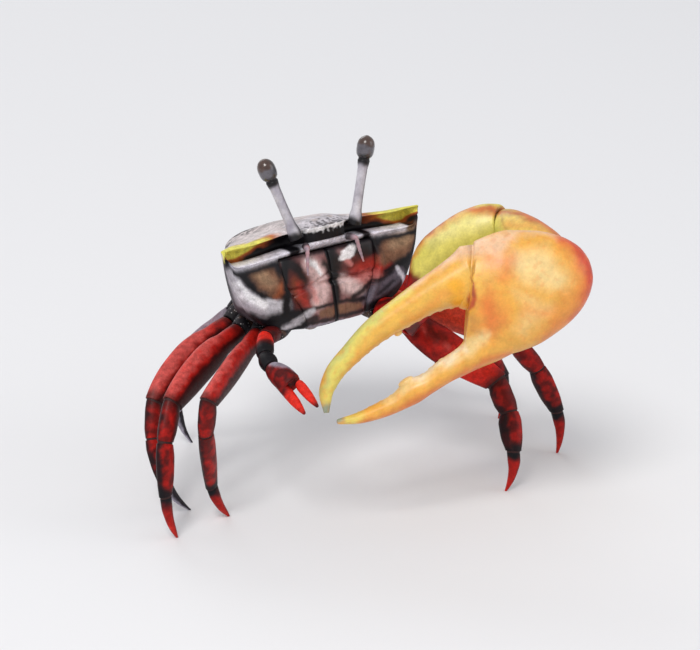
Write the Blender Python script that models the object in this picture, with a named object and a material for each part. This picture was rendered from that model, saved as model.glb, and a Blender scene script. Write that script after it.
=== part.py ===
"""Fiddler crab, an adult male at life size, standing with its large claw held across its face.

The crab looks along -Y, +X is its left side and +Z is up. It stands on the tips of its
eight walking legs at Z = 0, under the middle of its bounding box. Sizes are in millimetres
here, and every mesh is scaled to metres at the end.
"""
import bpy
import bmesh
from math import cos, pi, radians, sin, sqrt
from mathutils import Matrix, Vector

MM = 0.001
GAP = 0.3

# Stance: the body's middle above the floor, its nose and its left side raised, and the shift
# that puts the middle of the bounding box over the origin.
BODY_MIDDLE = Vector((-0.3, 0.0, 42.0))
NOSE_RAISED = radians(14)
LEFT_RAISED = radians(1.7)
STANCE_SHIFT = Vector((-2.665, 15.825, 0.0))

# Carapace, by distance from the midline (first value): margins seen from above,
# measured forward of the body's middle, and heights.
HALF_WIDTH = 18.0
FRONT_MARGIN = ((0, 11.0), (2.2, 10.8), (3.4, 10.2), (4.6, 9.4), (6, 8.8), (9, 9.0), (13, 9.2), (16, 8.9),
                (18, 9.6))
BACK_MARGIN = ((0, -11.0), (5, -11.0), (6.6, -10.2), (8.6, -7.6), (11.2, -3.2), (14.6, 2.4), (17, 6.2),
               (18, 8.2))
LOWER_MARGIN = ((0, -17.0), (8, -16.6), (12, -15.2), (14, -13.3), (15.6, -10.5), (16.8, -7.4),
                (17.5, -5.5), (18, -4.0))
CREST = ((0, 0.3), (3, 0.1), (7, -0.9), (11, -1.5), (15, -1.8), (18, -1.8))
FRONT_DROP = ((0, 1.7), (4, 1.4), (8, 0.6), (14, 0.3), (18, 0.2))
BACK_DROP = ((0, 2.6), (8, 2.8), (11, 2.4), (14, 1.3), (18, 0.3))
FACE_BULGE = ((0, 0.1), (4, 0.5), (9, 0.9), (13, 0.7), (16, 0.3), (18, 0.0))
# How far the back falls behind the front edge, as a share of its length.
BACK_SAG = 0.05
ORBIT_INNER, ORBIT_OUTER = 4.4, 17.0
ORBIT_DEPTH = 1.8
ORBIT_HEIGHT = 2.7
FACE_LINE = 9.3
BODY_STATIONS = (0, 1.6, 3.2, 3.9, 4.6, 6, 8, 10, 12, 14, 15.2, 16.2, 17, 17.6, 18)

# Mouth frame: two plates side by side in a recess of the face.
MOUTH_HALF_WIDTH_TOP = 8.6
MOUTH_HALF_WIDTH_LOW = 5.3
MOUTH_TOP, MOUTH_LOW = -5.2, -16.9
MOUTH_FLOOR, MOUTH_OPEN = 7.0, 13.0
# Heights of the plate's rows above its lower end, and how far each stands out.
MOUTH_ROWS = ((0, -0.55), (0.6, -0.1), (3, 0.15), (5.8, 0.2), (6.5, -0.3), (7.2, 0.2), (9.4, 0.15),
              (11.2, -0.1), (11.7, -0.6))
PLATE_BACK = 7.4
PLATE_FRONT = 9.5

# Thorax: the slab under the carapace that carries the legs.
THORAX_TOP = -11.2
THORAX_FRONT = 5.4
THORAX_BACK = -8.6
THORAX_HALF_WIDTH = 9.6
STUB_LENGTH = 4.6

# Where each limb leaves the thorax, in the body's own directions: left, forward, up.
SOCKETS = {
    "large_claw": (8.8, 8.2, -16.9),
    "small_claw": (10.8, 7.6, -16.5),
    1: (12.0, 4.2, -16.9),
    2: (13.2, 0.6, -16.1),
    3: (12.0, -4.0, -15.2),
    4: (9.4, -7.2, -14.0),
}

# Walking legs, front to back: lengths of the wrist and toe, and half width and thickness.
LEG_SIZES = {
    1: dict(wrist=5.3, toe=6.6, width=2.6, thick=1.35),
    2: dict(wrist=6.0, toe=7.5, width=2.5, thick=1.35),
    3: dict(wrist=5.6, toe=7.6, width=2.3, thick=1.25),
    4: dict(wrist=4.8, toe=6.8, width=1.9, thick=1.1),
}
# The pose of each leg: the knee, the foot on the floor, how far the toe leans out, and how far
# the thigh arches upward, in half widths.
LEG_POSE = {
    ("right", 1): dict(knee=(-26.9, -18.7, 22.0), foot=(-21.0, -14.2), toe_lean=27, bow=0.08),
    ("right", 2): dict(knee=(-29.7, -12.4, 20.2), foot=(-31.7, -16.6), toe_lean=14, bow=0.33),
    ("right", 3): dict(knee=(-28.0, -4.0, 17.2), foot=(-24.9, -8.7), toe_lean=36, bow=0.48),
    ("right", 4): dict(knee=(-16.6, 10.0, 15.4), foot=(-11.0, 14.6), toe_lean=22, bow=0.5),
    ("left", 1): dict(knee=(23.6, -23.7, 16.0), foot=(21.0, -30.2), toe_lean=12, bow=-0.1),
    ("left", 2): dict(knee=(30.2, -19.7, 20.1), foot=(37.3, -22.4), toe_lean=-2, bow=0.4),
    ("left", 3): dict(knee=(28.4, -2.6, 22.4), foot=(38.1, -5.1), toe_lean=6, bow=0.5),
    ("left", 4): dict(knee=(26.4, 7.6, 22.4), foot=(37.2, 13.0), toe_lean=8, bow=0.5),
}
# Half width of the flat tip, how much the toe curves, and how far the wrist follows the thigh.
TOE_TIP = 0.42
TOE_BOW = 0.2
WRIST_BEND = 0.2
# Profiles of the leg's articles: share of the length, and shares of the half width and of the
# half thickness. The toe ends in a small round flat instead.
LEG_MERUS = ((0, 0.66, 1.08), (0.10, 0.70, 1.1), (0.20, 0.74, 1.0), (0.34, 0.99, 1.0), (0.52, 1.12, 1.0),
             (0.70, 1.09, 0.98), (0.85, 0.96, 1.0), (1, 0.74, 1.02))
LEG_CARPUS = ((0, 0.62, 0.95), (0.30, 0.70, 1.0), (0.66, 0.70, 0.98), (1, 0.58, 0.86))
LEG_PROPODUS = ((0, 0.60, 0.84), (0.25, 0.72, 0.86), (0.6, 0.68, 0.80), (1, 0.48, 0.68))
LEG_TOE = ((0, 0.40, 0.62), (0.18, 0.42, 0.60), (0.45, 0.35, 0.52), (0.75, 0.25, 0.42))

# Large claw: a flat frame that faces the direction below, with its origin at the finger
# joint. Across points along the claw, up points to the movable finger's side.
CLAW_ORIGIN = Vector((9.8, -36.1, 38.2))
CLAW_AZIMUTH = radians(-32)
CLAW_ELEVATION = radians(18)
PALM_TOP = ((-0.9, 7.3), (1.5, 8.2), (5, 8.9), (9, 8.8), (12.5, 8.1), (15.5, 6.6), (17.3, 4.4), (17.9, 2.4))
PALM_LOW = ((-0.9, -8.6), (1.5, -9.8), (5, -9.8), (9, -8.7), (12.5, -6.6), (15.5, -4.0), (17.3, -1.2),
            (17.9, 0.8))
PALM_STATIONS = (-0.9, 1.5, 4.0, 6.6, 9.2, 11.6, 13.7, 15.4, 16.7, 17.5, 17.82)
PALM_OUTER = 5.3
PALM_INNER = 4.1
HEEL = 17.9
PALM_ROUND_FROM = 4.0
PALM_FRONT_LEAN = 0.10
# Each finger: across, up, half height and half thickness along its middle line.
FIXED_FINGER = ((6.0, -5.0, 4.2, 3.6), (1.8, -8.3, 3.1, 3.6), (-1.6, -10.7, 2.1, 3.1),
                (-4.6, -12.4, 1.85, 2.7), (-7.0, -14.1, 1.65, 2.4), (-9.3, -15.3, 1.95, 2.3),
                (-11.8, -17.0, 1.45, 2.0), (-14.4, -18.2, 1.25, 1.7), (-17.9, -19.4, 0.85, 1.2),
                (-21.0, -19.9, 0.4, 0.55))
MOVING_FINGER = ((-0.35, 1.8, 5.2, 3.7), (-3.0, 0.9, 3.8, 3.5), (-6.8, -0.8, 2.85, 3.1),
                 (-11.0, -3.4, 2.4, 2.7), (-15.0, -6.1, 2.05, 2.4), (-18.6, -9.5, 1.65, 2.0),
                 (-21.5, -12.9, 1.4, 1.6), (-22.6, -16.0, 1.0, 1.15), (-22.5, -18.5, 0.42, 0.5))
# Teeth along the biting edges: a row of low ones, spaced evenly and smaller towards the tip,
# from first to last place along the finger (0 to 1), and the larger ones among them, each
# with its place, radius and height.
LOW_TOOTH = dict(radius=0.56, height=0.42, spacing=0.06)
FIXED_TEETH = dict(first=0.40, last=0.88, large=((0.6, 0.8, 0.6),))
MOVING_TEETH = dict(first=0.14, last=0.86, large=((0.44, 0.7, 0.65),))

# Arm of the large claw.
ARM_ROOT = Vector((10.6, -17.2, 27.4))
ARM_ELBOW = Vector((21.8, -27.4, 43.2))
ARM_WRIST = Vector((23.6, -41.2, 40.6))
# Profiles of its articles: share of the length, half width and half thickness.
ARM_COXA = ((0, 2.0, 2.2), (0.45, 2.45, 2.6), (1, 2.3, 2.4))
ARM_MERUS = ((0, 2.6, 2.2), (0.17, 3.4, 2.8), (0.34, 4.6, 3.3), (0.55, 5.35, 3.5), (0.72, 5.3, 3.4),
             (0.87, 4.7, 3.2), (1, 3.5, 2.6))
ARM_CARPUS = ((0, 3.2, 2.7), (0.2, 3.7, 3.7), (0.38, 3.9, 4.05), (0.58, 3.8, 3.9), (0.8, 3.2, 3.3),
              (1, 2.2, 2.2))
ARM_BOW, WRIST_BOW = -2.3, 0.4

# Arm of the small claw: root, elbow, wrist, knuckle and the two finger tips.
SMALL_ARM = ((-13.6, -13.6, 28.2), (-16.3, -17.9, 27.0), (-17.2, -21.3, 26.45))
SMALL_KNUCKLE = Vector((-16.7, -26.5, 25.05))
SMALL_TIP_UPPER = Vector((-15.9, -32.2, 23.45))
SMALL_TIP_LOWER = Vector((-17.7, -31.4, 22.45))
SMALL_COXA = ((0, 1.35, 1.35), (0.5, 1.42, 1.42), (1, 1.2, 1.2))
SMALL_MERUS = ((0, 1.15, 1.15), (0.4, 1.4, 1.3), (0.75, 1.42, 1.3), (1, 1.1, 1.05))
SMALL_CARPUS = ((0, 1.1, 1.05), (0.5, 1.45, 1.35), (1, 1.2, 1.1))
SMALL_PALM = ((0, 1.2, 1.1), (0.2, 1.6, 1.35), (0.55, 1.85, 1.5), (0.85, 1.8, 1.4), (1, 1.55, 1.25))
SMALL_FIXED = ((0, 0.9, 0.95), (0.35, 0.85, 0.85), (0.6, 0.78, 0.72), (0.85, 0.5, 0.5), (1, 0.22, 0.25))
SMALL_MOVING = ((0, 0.68, 0.8), (0.2, 0.78, 0.82), (0.5, 0.7, 0.7), (0.8, 0.48, 0.48), (1, 0.22, 0.25))
SMALL_FINGER_SPREAD = 0.95

# Eyes: base of each stalk beside the front lobe, and the top of each eye.
EYE_BASE = (5.4, 9.9, -2.4)
EYE_TOP = {"right": Vector((-10.2, -7.8, 54.8)), "left": Vector((8.1, -9.4, 56.1))}
EYE_SHARE = 0.735
# Half widths of the stalk by share of the whole length, and of the eye by share of its own.
STALK_PROFILE = ((0.0, 1.1), (0.09, 1.05), (0.18, 0.82), (0.40, 0.76), (0.62, 0.80), (0.695, 0.95),
                 (EYE_SHARE, 1.0))
EYE_PROFILE = ((0.0, 1.02), (0.10, 1.26), (0.28, 1.40), (0.50, 1.42), (0.70, 1.30), (0.86, 0.98),
               (0.96, 0.52), (1.0, 0.16))

# Short feelers folded below the front lobe: root, bend and tip on the left side, and half widths.
FEELER = ((3.9, 9.7, -4.0), (4.5, 11.1, -4.3), (5.2, 11.2, -8.3))
FEELER_WIDTHS = (0.55, 0.5, 0.36, 0.27, 0.13)

# Tail flap: its path down the back and forward under the thorax (forward, up), and half widths.
FLAP_PATH = ((-11.35, -4.3), (-11.0, -7.5), (-10.45, -10.8), (-9.9, -13.4), (-9.0, -15.0), (-7.0, -15.6),
             (-4.6, -16.2), (-1.6, -16.95), (1.2, -17.55))
FLAP_WIDTHS = (4.8, 4.7, 4.5, 4.1, 3.7, 3.3, 2.8, 2.1, 0.9)
FLAP_THICK = 1.15
# Its cross-section: share of the half width, and share of the thickness.
FLAP_SECTION = ((-1, 0.0), (1, 0.0), (1, 0.55), (0.8, 0.9), (0, 1.0), (-0.8, 0.9), (-1, 0.55))


def clear_scene():
    for old in list(bpy.data.objects):
        bpy.data.objects.remove(old, do_unlink=True)


clear_scene()
MODEL = bpy.data.collections.new("fiddler_crab")
CUTTERS = bpy.data.collections.new("cutters")
bpy.context.scene.collection.children.link(MODEL)
bpy.context.scene.collection.children.link(CUTTERS)


def smooth(x, knots):
    """Monotone cubic curve through a short list of (place, value) knots."""
    xs = [k[0] for k in knots]
    ys = [k[1] for k in knots]
    if x <= xs[0]:
        return ys[0]
    if x >= xs[-1]:
        return ys[-1]
    slopes = [(ys[i + 1] - ys[i]) / (xs[i + 1] - xs[i]) for i in range(len(xs) - 1)]

    def tangent(i):
        if i in (0, len(xs) - 1):
            return slopes[0] if i == 0 else slopes[-1]
        left, right = slopes[i - 1], slopes[i]
        return 0.0 if left * right <= 0 else 2 * left * right / (left + right)

    i = max(k for k in range(len(xs) - 1) if xs[k] <= x)
    step = xs[i + 1] - xs[i]
    t = (x - xs[i]) / step
    return ((2 * t**3 - 3 * t**2 + 1) * ys[i] + (t**3 - 2 * t**2 + t) * step * tangent(i)
            + (3 * t**2 - 2 * t**3) * ys[i + 1] + (t**3 - t**2) * step * tangent(i + 1))


def ramp(x, low, high):
    """Smooth step from 0 at low to 1 at high."""
    t = min(1.0, max(0.0, (x - low) / (high - low)))
    return t * t * (3 - 2 * t)


def body_point(left, forward, up):
    """A place given in the body's own directions, in the stance."""
    level = Matrix.Rotation(-LEFT_RAISED, 3, "Y") @ Vector((left, -forward, up))
    return Matrix.Rotation(-NOSE_RAISED, 3, "X") @ level + BODY_MIDDLE


def material(name, colour, roughness):
    made = bpy.data.materials.get(name) or bpy.data.materials.new(name)
    made.use_nodes = True
    shader = made.node_tree.nodes["Principled BSDF"]
    shader.inputs["Base Color"].default_value = (*colour, 1.0)
    shader.inputs["Roughness"].default_value = roughness
    shader.inputs["Metallic"].default_value = 0.0
    made.diffuse_color = (*colour, 1.0)
    return made


SHELL_DARK = material("dark_shell", (0.05, 0.04, 0.045), 0.45)
SHELL_PALE = material("underside_shell", (0.35, 0.30, 0.29), 0.55)
MOUTH_RED = material("mouth_plates", (0.55, 0.22, 0.19), 0.5)
LEG_RED = material("red_leg", (0.36, 0.025, 0.02), 0.4)
CLAW_ORANGE = material("orange_claw", (0.86, 0.47, 0.10), 0.4)
ARM_GREEN = material("yellow_green_arm", (0.66, 0.57, 0.10), 0.45)
SMALL_RED = material("small_claw_red", (0.62, 0.05, 0.03), 0.4)
STALK_GREY = material("eyestalk_grey", (0.50, 0.48, 0.55), 0.4)
EYE_DARK = material("eye_dark", (0.12, 0.09, 0.09), 0.15)


def add_object(name, mesh, collection=MODEL):
    made = bpy.data.objects.new(name, mesh)
    collection.objects.link(made)
    if collection is CUTTERS:
        made.hide_render = True
        made.display_type = "WIRE"
    return made


def loft(name, rings, collection=MODEL):
    """A closed body through rings of points, with a flat cap on each end."""
    shape = bmesh.new()
    rows = [[shape.verts.new(point) for point in ring] for ring in rings]
    count = len(rings[0])
    for row, following in zip(rows, rows[1:]):
        for i in range(count):
            j = (i + 1) % count
            shape.faces.new((row[i], row[j], following[j], following[i]))
    shape.faces.new(rows[0][::-1])
    shape.faces.new(rows[-1])
    bmesh.ops.recalc_face_normals(shape, faces=shape.faces)
    bmesh.ops.triangulate(shape, faces=shape.faces)
    mesh = bpy.data.meshes.new(name)
    shape.to_mesh(mesh)
    shape.free()
    return add_object(name, mesh, collection)


def oval(centre, side, over, half_side, half_over, count, half_under=None, power=2.0):
    """A ring round a centre, in the plane of two directions."""
    points = []
    for i in range(count):
        angle = 2 * pi * i / count
        c, s = cos(angle), sin(angle)
        reach = half_over if s >= 0 or half_under is None else half_under
        c = abs(c) ** (2 / power) * (1 if c >= 0 else -1)
        s = abs(s) ** (2 / power) * (1 if s >= 0 else -1)
        points.append(centre + side * (half_side * c) + over * (reach * s))
    return points


def onto_plane(point, along, plane_point, plane_normal):
    """The point slid along a direction until it lies in a plane."""
    return point + along * ((plane_point - point).dot(plane_normal) / along.dot(plane_normal))


def article(name, start, end, stations, start_normal, end_normal, thin_way, count=10, bow=0.0,
            gap_start=GAP / 2, gap_end=GAP / 2, grow=0.0, collection=MODEL):
    """One article of a limb: oval sections from start to end, cut flat at both joints.

    A station is (share of the length, half width, half thickness). Thin_way is the
    direction of the thickness, and bow bends the middle out along the width.
    """
    along = (end - start).normalized()
    thin = (thin_way - along * thin_way.dot(along)).normalized()
    wide = along.cross(thin)
    rings = []
    for share, half_width, half_thick in stations:
        middle = start.lerp(end, share) + wide * (bow * 4 * share * (1 - share))
        ring = oval(middle, wide, thin, half_width + grow, half_thick + grow, count)
        if share == 0:
            ring = [onto_plane(p, along, start + start_normal * gap_start, start_normal) for p in ring]
        if share == 1:
            ring = [onto_plane(p, along, end - end_normal * gap_end, end_normal) for p in ring]
        rings.append(ring)
    return loft(name, rings, collection)


def apply_boolean(target, pieces, operation):
    """Join pieces to a target, or cut them from it, and remove them."""
    group = bpy.data.collections.new("pieces")
    bpy.context.scene.collection.children.link(group)
    for piece in pieces:
        for holder in list(piece.users_collection):
            holder.objects.unlink(piece)
        group.objects.link(piece)
    change = target.modifiers.new("boolean", "BOOLEAN")
    change.operation = operation
    change.solver = "EXACT"
    change.operand_type = "COLLECTION"
    change.collection = group
    bpy.context.view_layer.update()
    result = bpy.data.meshes.new_from_object(target.evaluated_get(bpy.context.evaluated_depsgraph_get()))
    target.modifiers.clear()
    old = target.data
    target.data = result
    bpy.data.meshes.remove(old)
    for piece in list(group.objects):
        bpy.data.objects.remove(piece, do_unlink=True)
    bpy.data.collections.remove(group)
    keep_largest(target)


def fuse(target, pieces):
    apply_boolean(target, pieces, "UNION")


def cut(target, cutters):
    apply_boolean(target, cutters, "DIFFERENCE")


def keep_largest(target):
    """Keep only the largest closed surface of a node."""
    shape = bmesh.new()
    shape.from_mesh(target.data)
    bmesh.ops.triangulate(shape, faces=shape.faces)
    bmesh.ops.dissolve_degenerate(shape, dist=1e-5, edges=shape.edges)
    shape.faces.ensure_lookup_table()
    unseen = set(shape.faces)
    islands = []
    while unseen:
        front = [unseen.pop()]
        island = list(front)
        while front:
            face = front.pop()
            for edge in face.edges:
                for other in edge.link_faces:
                    if other in unseen:
                        unseen.remove(other)
                        front.append(other)
                        island.append(other)
        islands.append(island)

    def reach(island):
        points = [v.co for f in island for v in f.verts]
        return sum(max(p[k] for p in points) - min(p[k] for p in points) for k in range(3))

    islands.sort(key=reach)
    for island in islands[:-1]:
        bmesh.ops.delete(shape, geom=island, context="FACES")
    loose = [v for v in shape.verts if not v.link_faces]
    bmesh.ops.delete(shape, geom=loose, context="VERTS")
    shape.to_mesh(target.data)
    shape.free()


def tooth(name, seat, out, radius, height, sides=6):
    """A blunt round-topped tooth whose root is sunk in its finger."""
    side = out.orthogonal().normalized()
    over = out.cross(side)
    sunk = max(0.8, radius)
    profile = ((-sunk, 1.0), (0.0, 1.0), (0.62, 0.72), (1.0, 0.25))
    rings = []
    for level, share in profile:
        lift = level if level < 0 else level * height
        rings.append(oval(seat + out * lift, side, over, radius * share, radius * share, sides))
    return loft(name, rings, CUTTERS)


# Body

def body_loop(off):
    """Outline of the body in a lengthwise plane, off this far from the midline: (forward, up)."""
    front = smooth(off, FRONT_MARGIN)
    back = smooth(off, BACK_MARGIN)
    low = smooth(off, LOWER_MARGIN)
    crest = smooth(off, CREST)
    lip = crest - smooth(off, FRONT_DROP)
    orbit = ramp(off, 3.4, ORBIT_INNER) * (1 - ramp(off, ORBIT_OUTER - 0.4, HALF_WIDTH - 0.1))
    small = 1 - ramp(off, 16.4, HALF_WIDTH)
    ridge = lip - ORBIT_HEIGHT * (0.45 + 0.55 * small)
    face = FACE_LINE - 0.4 * (1 - small)
    chin = face - 0.25 - 1.05 * small
    inset = 0.1 + 0.25 * small
    bulge = smooth(off, FACE_BULGE)
    groove = ORBIT_DEPTH * orbit
    front_points = (
        (front, lip),
        (front - 0.25 - groove, lip - 0.25 * (lip - ridge)),
        (front - 0.45 - groove, lip - 0.75 * (lip - ridge)),
        (front + (face - front) * (0.55 + 0.45 * orbit) - 0.05, ridge),
        (face - inset, ridge + (low - ridge) * 0.10),
        (face + bulge, ridge + (low - ridge) * 0.42),
        (face + 0.75 * bulge, ridge + (low - ridge) * 0.75),
        (face - inset + 0.08, low + 0.09 * (ridge - low)),
        (chin, low),
    )
    depth = chin - back
    wall = back + 0.06 * depth
    rise = min(0.30 * (crest - low), 0.19 * depth)
    under_points = (
        (chin - 0.33 * depth, low + 0.25 * rise),
        (chin - 0.66 * depth, low + 0.62 * rise),
        (back + 0.13 * depth, low + 1.0 * rise),
        (wall, low + rise + 0.12 * (crest - low)),
    )
    tail = crest - smooth(off, BACK_DROP)
    sag = BACK_SAG * (front - back)
    back_points = (
        (back + 0.02 * depth, tail - 0.28 * (tail - low - rise)),
        (back, tail),
        (back + 0.07 * (front - back), tail + 0.45 * (crest - tail) - 0.9 * sag),
        (back + 0.22 * (front - back), tail + 0.86 * (crest - tail) - 1.1 * sag),
        (back + 0.45 * (front - back), crest - 0.9 * sag),
        (back + 0.70 * (front - back), crest + 0.04 * (lip - crest) - 0.35 * sag),
        (back + 0.88 * (front - back), crest + 0.38 * (lip - crest)),
        (back + 0.97 * (front - back), crest + 0.80 * (lip - crest)),
    )
    return front_points + under_points + back_points


def build_body():
    stations = [-s for s in BODY_STATIONS[:0:-1]] + list(BODY_STATIONS)
    rings = [[body_point(s, f, u) for f, u in body_loop(abs(s))] for s in stations]
    shell = loft("carapace", rings)
    shell.data.materials.append(SHELL_DARK)
    return shell


def thorax_rings(grow=0.0):
    rings = []
    reach = THORAX_HALF_WIDTH + grow
    for share in (-1, -0.93, -0.6, -0.2, 0.2, 0.6, 0.93, 1):
        off = share * reach
        round_off = 1.2 * abs(share) ** 6
        front = THORAX_FRONT - 0.018 * off * off + grow - round_off
        back = THORAX_BACK + 0.02 * off * off - grow + round_off
        top = THORAX_TOP + grow - 0.5 * round_off
        front_low = -17.7 - grow + round_off + 0.012 * off * off
        back_low = -14.9 - grow + round_off
        points = (
            (front - 0.5, top),
            (front, top - 0.6),
            (front, front_low + 0.9),
            (front - 1.0, front_low),
            (0.5 * (front + back), 0.45 * front_low + 0.55 * back_low - 0.35),
            (back + 1.0, back_low),
            (back, back_low + 0.7),
            (back, top - 0.5),
            (back + 0.5, top),
        )
        rings.append([body_point(off, f, u) for f, u in points])
    return rings


def side_sign(side):
    return 1 if side == "left" else -1


def socket(side, key):
    left, forward, up = SOCKETS[key]
    return body_point(side_sign(side) * left, forward, up)


def stub(root, grow=0.0, beyond=0.0):
    """Short base of a limb on the thorax, flat at its socket, or grown and longer to cut with."""
    place, along, thin, half_width, half_thick = root
    inner = place - along * STUB_LENGTH + Vector((0, 0, 0.5))
    stations = [(0, half_width * 0.9, half_thick * 0.9), (0.55, half_width * 1.08, half_thick * 1.1),
                (1, half_width, half_thick)]
    if beyond:
        share = STUB_LENGTH / (STUB_LENGTH + beyond)
        stations = [(at * share, wide, thick) for at, wide, thick in stations]
        stations[-1] = (share, half_width * 1.08, half_thick * 1.1)
        stations.append((1, half_width * 1.1, half_thick * 1.15))
        place = place + (place - inner).normalized() * beyond
    end_gap = 0.0 if beyond else GAP / 2
    return article("stub", inner, place, stations, along, along, thin, gap_start=-grow, gap_end=end_gap,
                   grow=grow, collection=CUTTERS)


def build_thorax(roots):
    """Thorax with a short stub for each limb."""
    thorax = loft("thorax", thorax_rings())
    fuse(thorax, [stub(root) for root in roots])
    thorax.data.materials.append(SHELL_PALE)
    return thorax


def thorax_clearance(roots):
    """The thorax and its stubs, grown by the gap, to cut from the carapace."""
    block = loft("thorax_clearance", thorax_rings(GAP), CUTTERS)
    return [block] + [stub(root, GAP, 2.5) for root in roots]


def mouth_half_width(up):
    share = (up - MOUTH_LOW) / (MOUTH_TOP - MOUTH_LOW)
    return MOUTH_HALF_WIDTH_LOW + (MOUTH_HALF_WIDTH_TOP - MOUTH_HALF_WIDTH_LOW) * ramp(share, 0.0, 0.75)


def mouth_recess():
    levels = [MOUTH_LOW - 1.5] + [MOUTH_LOW + row for row, proud in MOUTH_ROWS] + [MOUTH_TOP + GAP]
    rings = []
    for up in levels:
        half = mouth_half_width(up) + GAP
        corners = ((-half, MOUTH_FLOOR), (half, MOUTH_FLOOR), (half, MOUTH_OPEN), (-half, MOUTH_OPEN))
        rings.append([body_point(x, f, up) for x, f in corners])
    return loft("mouth_recess", rings, CUTTERS)


def build_mouth_plate(side):
    """One outer mouth plate: gently crowned, with the crease between its two articles."""
    sign = side_sign(side)
    rings = []
    for row, proud in MOUTH_ROWS:
        up = MOUTH_LOW + row
        half = mouth_half_width(up)
        inner = GAP / 2
        front = PLATE_FRONT + proud
        points = (
            (inner, PLATE_BACK),
            (half, PLATE_BACK),
            (half, front - 0.8),
            (half - 0.5, front - 0.3),
            (half * 0.72, front),
            (half * 0.40, front + 0.1),
            (inner + 0.5, front - 0.1),
            (inner, front - 0.6),
        )
        rings.append([body_point(sign * x, f, up) for x, f in points])
    plate = loft("maxilliped_" + side, rings)
    plate.data.materials.append(MOUTH_RED)
    return plate


def build_abdomen():
    """Narrow tail flap of a male: down the back and forward under the thorax."""
    rings = []
    for i, ((forward, up), half) in enumerate(zip(FLAP_PATH, FLAP_WIDTHS)):
        before = Vector(FLAP_PATH[max(i - 1, 0)])
        after = Vector(FLAP_PATH[min(i + 1, len(FLAP_PATH) - 1)])
        run = (after - before).normalized()
        out = Vector((run.y, -run.x)) * FLAP_THICK
        rings.append([body_point(half * x, forward + out.x * lift, up + out.y * lift)
                      for x, lift in FLAP_SECTION])
    flap = loft("abdomen", rings)
    flap.data.materials.append(SHELL_PALE)


def eye_line(side):
    left, forward, up = EYE_BASE
    base = body_point(side_sign(side) * left, forward, up)
    return base, EYE_TOP[side]


def eye_ring(side, share, half, count=12):
    base, top = eye_line(side)
    along = (top - base).normalized()
    across = Vector((1, 0, 0))
    across = (across - along * across.dot(along)).normalized()
    return oval(base.lerp(top, share), across, along.cross(across), half, half, count)


def build_eye(side):
    base, top = eye_line(side)
    length = (top - base).length
    stalk = loft("eyestalk_" + side, [eye_ring(side, share, half) for share, half in STALK_PROFILE])
    stalk.data.materials.append(STALK_GREY)
    start = EYE_SHARE + GAP / length
    rings = [eye_ring(side, start + (1 - start) * share, half) for share, half in EYE_PROFILE]
    eye = loft("cornea_" + side, rings)
    eye.data.materials.append(EYE_DARK)


def eye_socket(side):
    base, top = eye_line(side)
    below = -GAP / (top - base).length
    stations = [(below, STALK_PROFILE[0][1])] + list(STALK_PROFILE[:4])
    return loft("eye_socket", [eye_ring(side, share, half + GAP) for share, half in stations], CUTTERS)


def feeler_points(side):
    return [body_point(side_sign(side) * left, forward, up) for left, forward, up in FEELER]


def feeler_ring(place, along, half, count=6):
    across = along.cross(Vector((0, 0, 1))).normalized()
    return oval(place, across, along.cross(across), half, half, count)


def build_antenna(side):
    root, bend, tip = feeler_points(side)
    first = (bend - root).normalized()
    second = (tip - bend).normalized()
    places = (root, root.lerp(bend, 0.6), bend, bend.lerp(tip, 0.5), tip)
    ways = (first, first, (first + second).normalized(), second, second)
    feeler = loft("antenna_" + side, [feeler_ring(*station) for station in zip(places, ways, FEELER_WIDTHS)])
    feeler.data.materials.append(STALK_GREY)


def antenna_socket(side):
    root, bend, tip = feeler_points(side)
    along = (bend - root).normalized()
    half = FEELER_WIDTHS[0] + GAP
    rings = [feeler_ring(place, along, half, 8) for place in (root - along * GAP, bend)]
    return loft("antenna_socket", rings, CUTTERS)


# Legs

def leg_joints(side, number):
    """Socket, knee, wrist, ankle and foot of one leg."""
    sign = side_sign(side)
    sizes, pose = LEG_SIZES[number], LEG_POSE[side, number]
    root = socket(side, number)
    knee = Vector(pose["knee"])
    foot = Vector((*pose["foot"], 0.0))
    lean = radians(pose["toe_lean"])
    ankle = foot + Vector((sign * sin(lean), 0, cos(lean))) * sizes["toe"]
    thigh_way = (knee - root).normalized()
    shin_way = (ankle - knee).normalized()
    wrist = knee + (thigh_way * WRIST_BEND + shin_way * (1 - WRIST_BEND)).normalized() * sizes["wrist"]
    return root, knee, wrist, ankle, foot


def leg_root(side, number):
    root, knee, _, ankle, _ = leg_joints(side, number)
    thigh_way = (knee - root).normalized()
    thin = thigh_way.cross(ankle - knee).normalized()
    sizes = LEG_SIZES[number]
    share, wide, thick = LEG_MERUS[0]
    return root, thigh_way, thin, sizes["width"] * wide, sizes["thick"] * thick


def build_leg(side, number):
    sizes = LEG_SIZES[number]
    joints = leg_joints(side, number)
    wide, thick = sizes["width"], sizes["thick"]
    ways = [(b - a).normalized() for a, b in zip(joints, joints[1:])]
    thin = ways[0].cross(joints[3] - joints[1]).normalized()
    floor = Vector((0, 0, -1))
    cuts = [ways[0]] + [(a + b).normalized() for a, b in zip(ways, ways[1:])] + [floor]
    upward = 1 if ways[0].cross(thin).z > 0 else -1
    arch = LEG_POSE[side, number]["bow"]
    profiles = (("merus", LEG_MERUS, arch), ("carpus", LEG_CARPUS, 0), ("propodus", LEG_PROPODUS, 0),
                ("dactyl", LEG_TOE, TOE_BOW))
    for i, (kind, profile, bow) in enumerate(profiles):
        stations = [(share, wide * w, thick * t) for share, w, t in profile]
        toe = kind == "dactyl"
        if toe:
            stations.append((1, TOE_TIP, TOE_TIP * 0.9))
        name = "%s_leg_%d_%s" % (side, number, kind)
        piece = article(name, joints[i], joints[i + 1], stations, cuts[i], cuts[i + 1], thin,
                        count=8 if toe else 10, bow=upward * wide * bow, gap_end=0.0 if toe else GAP / 2)
        piece.data.materials.append(LEG_RED)


# Large claw

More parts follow.
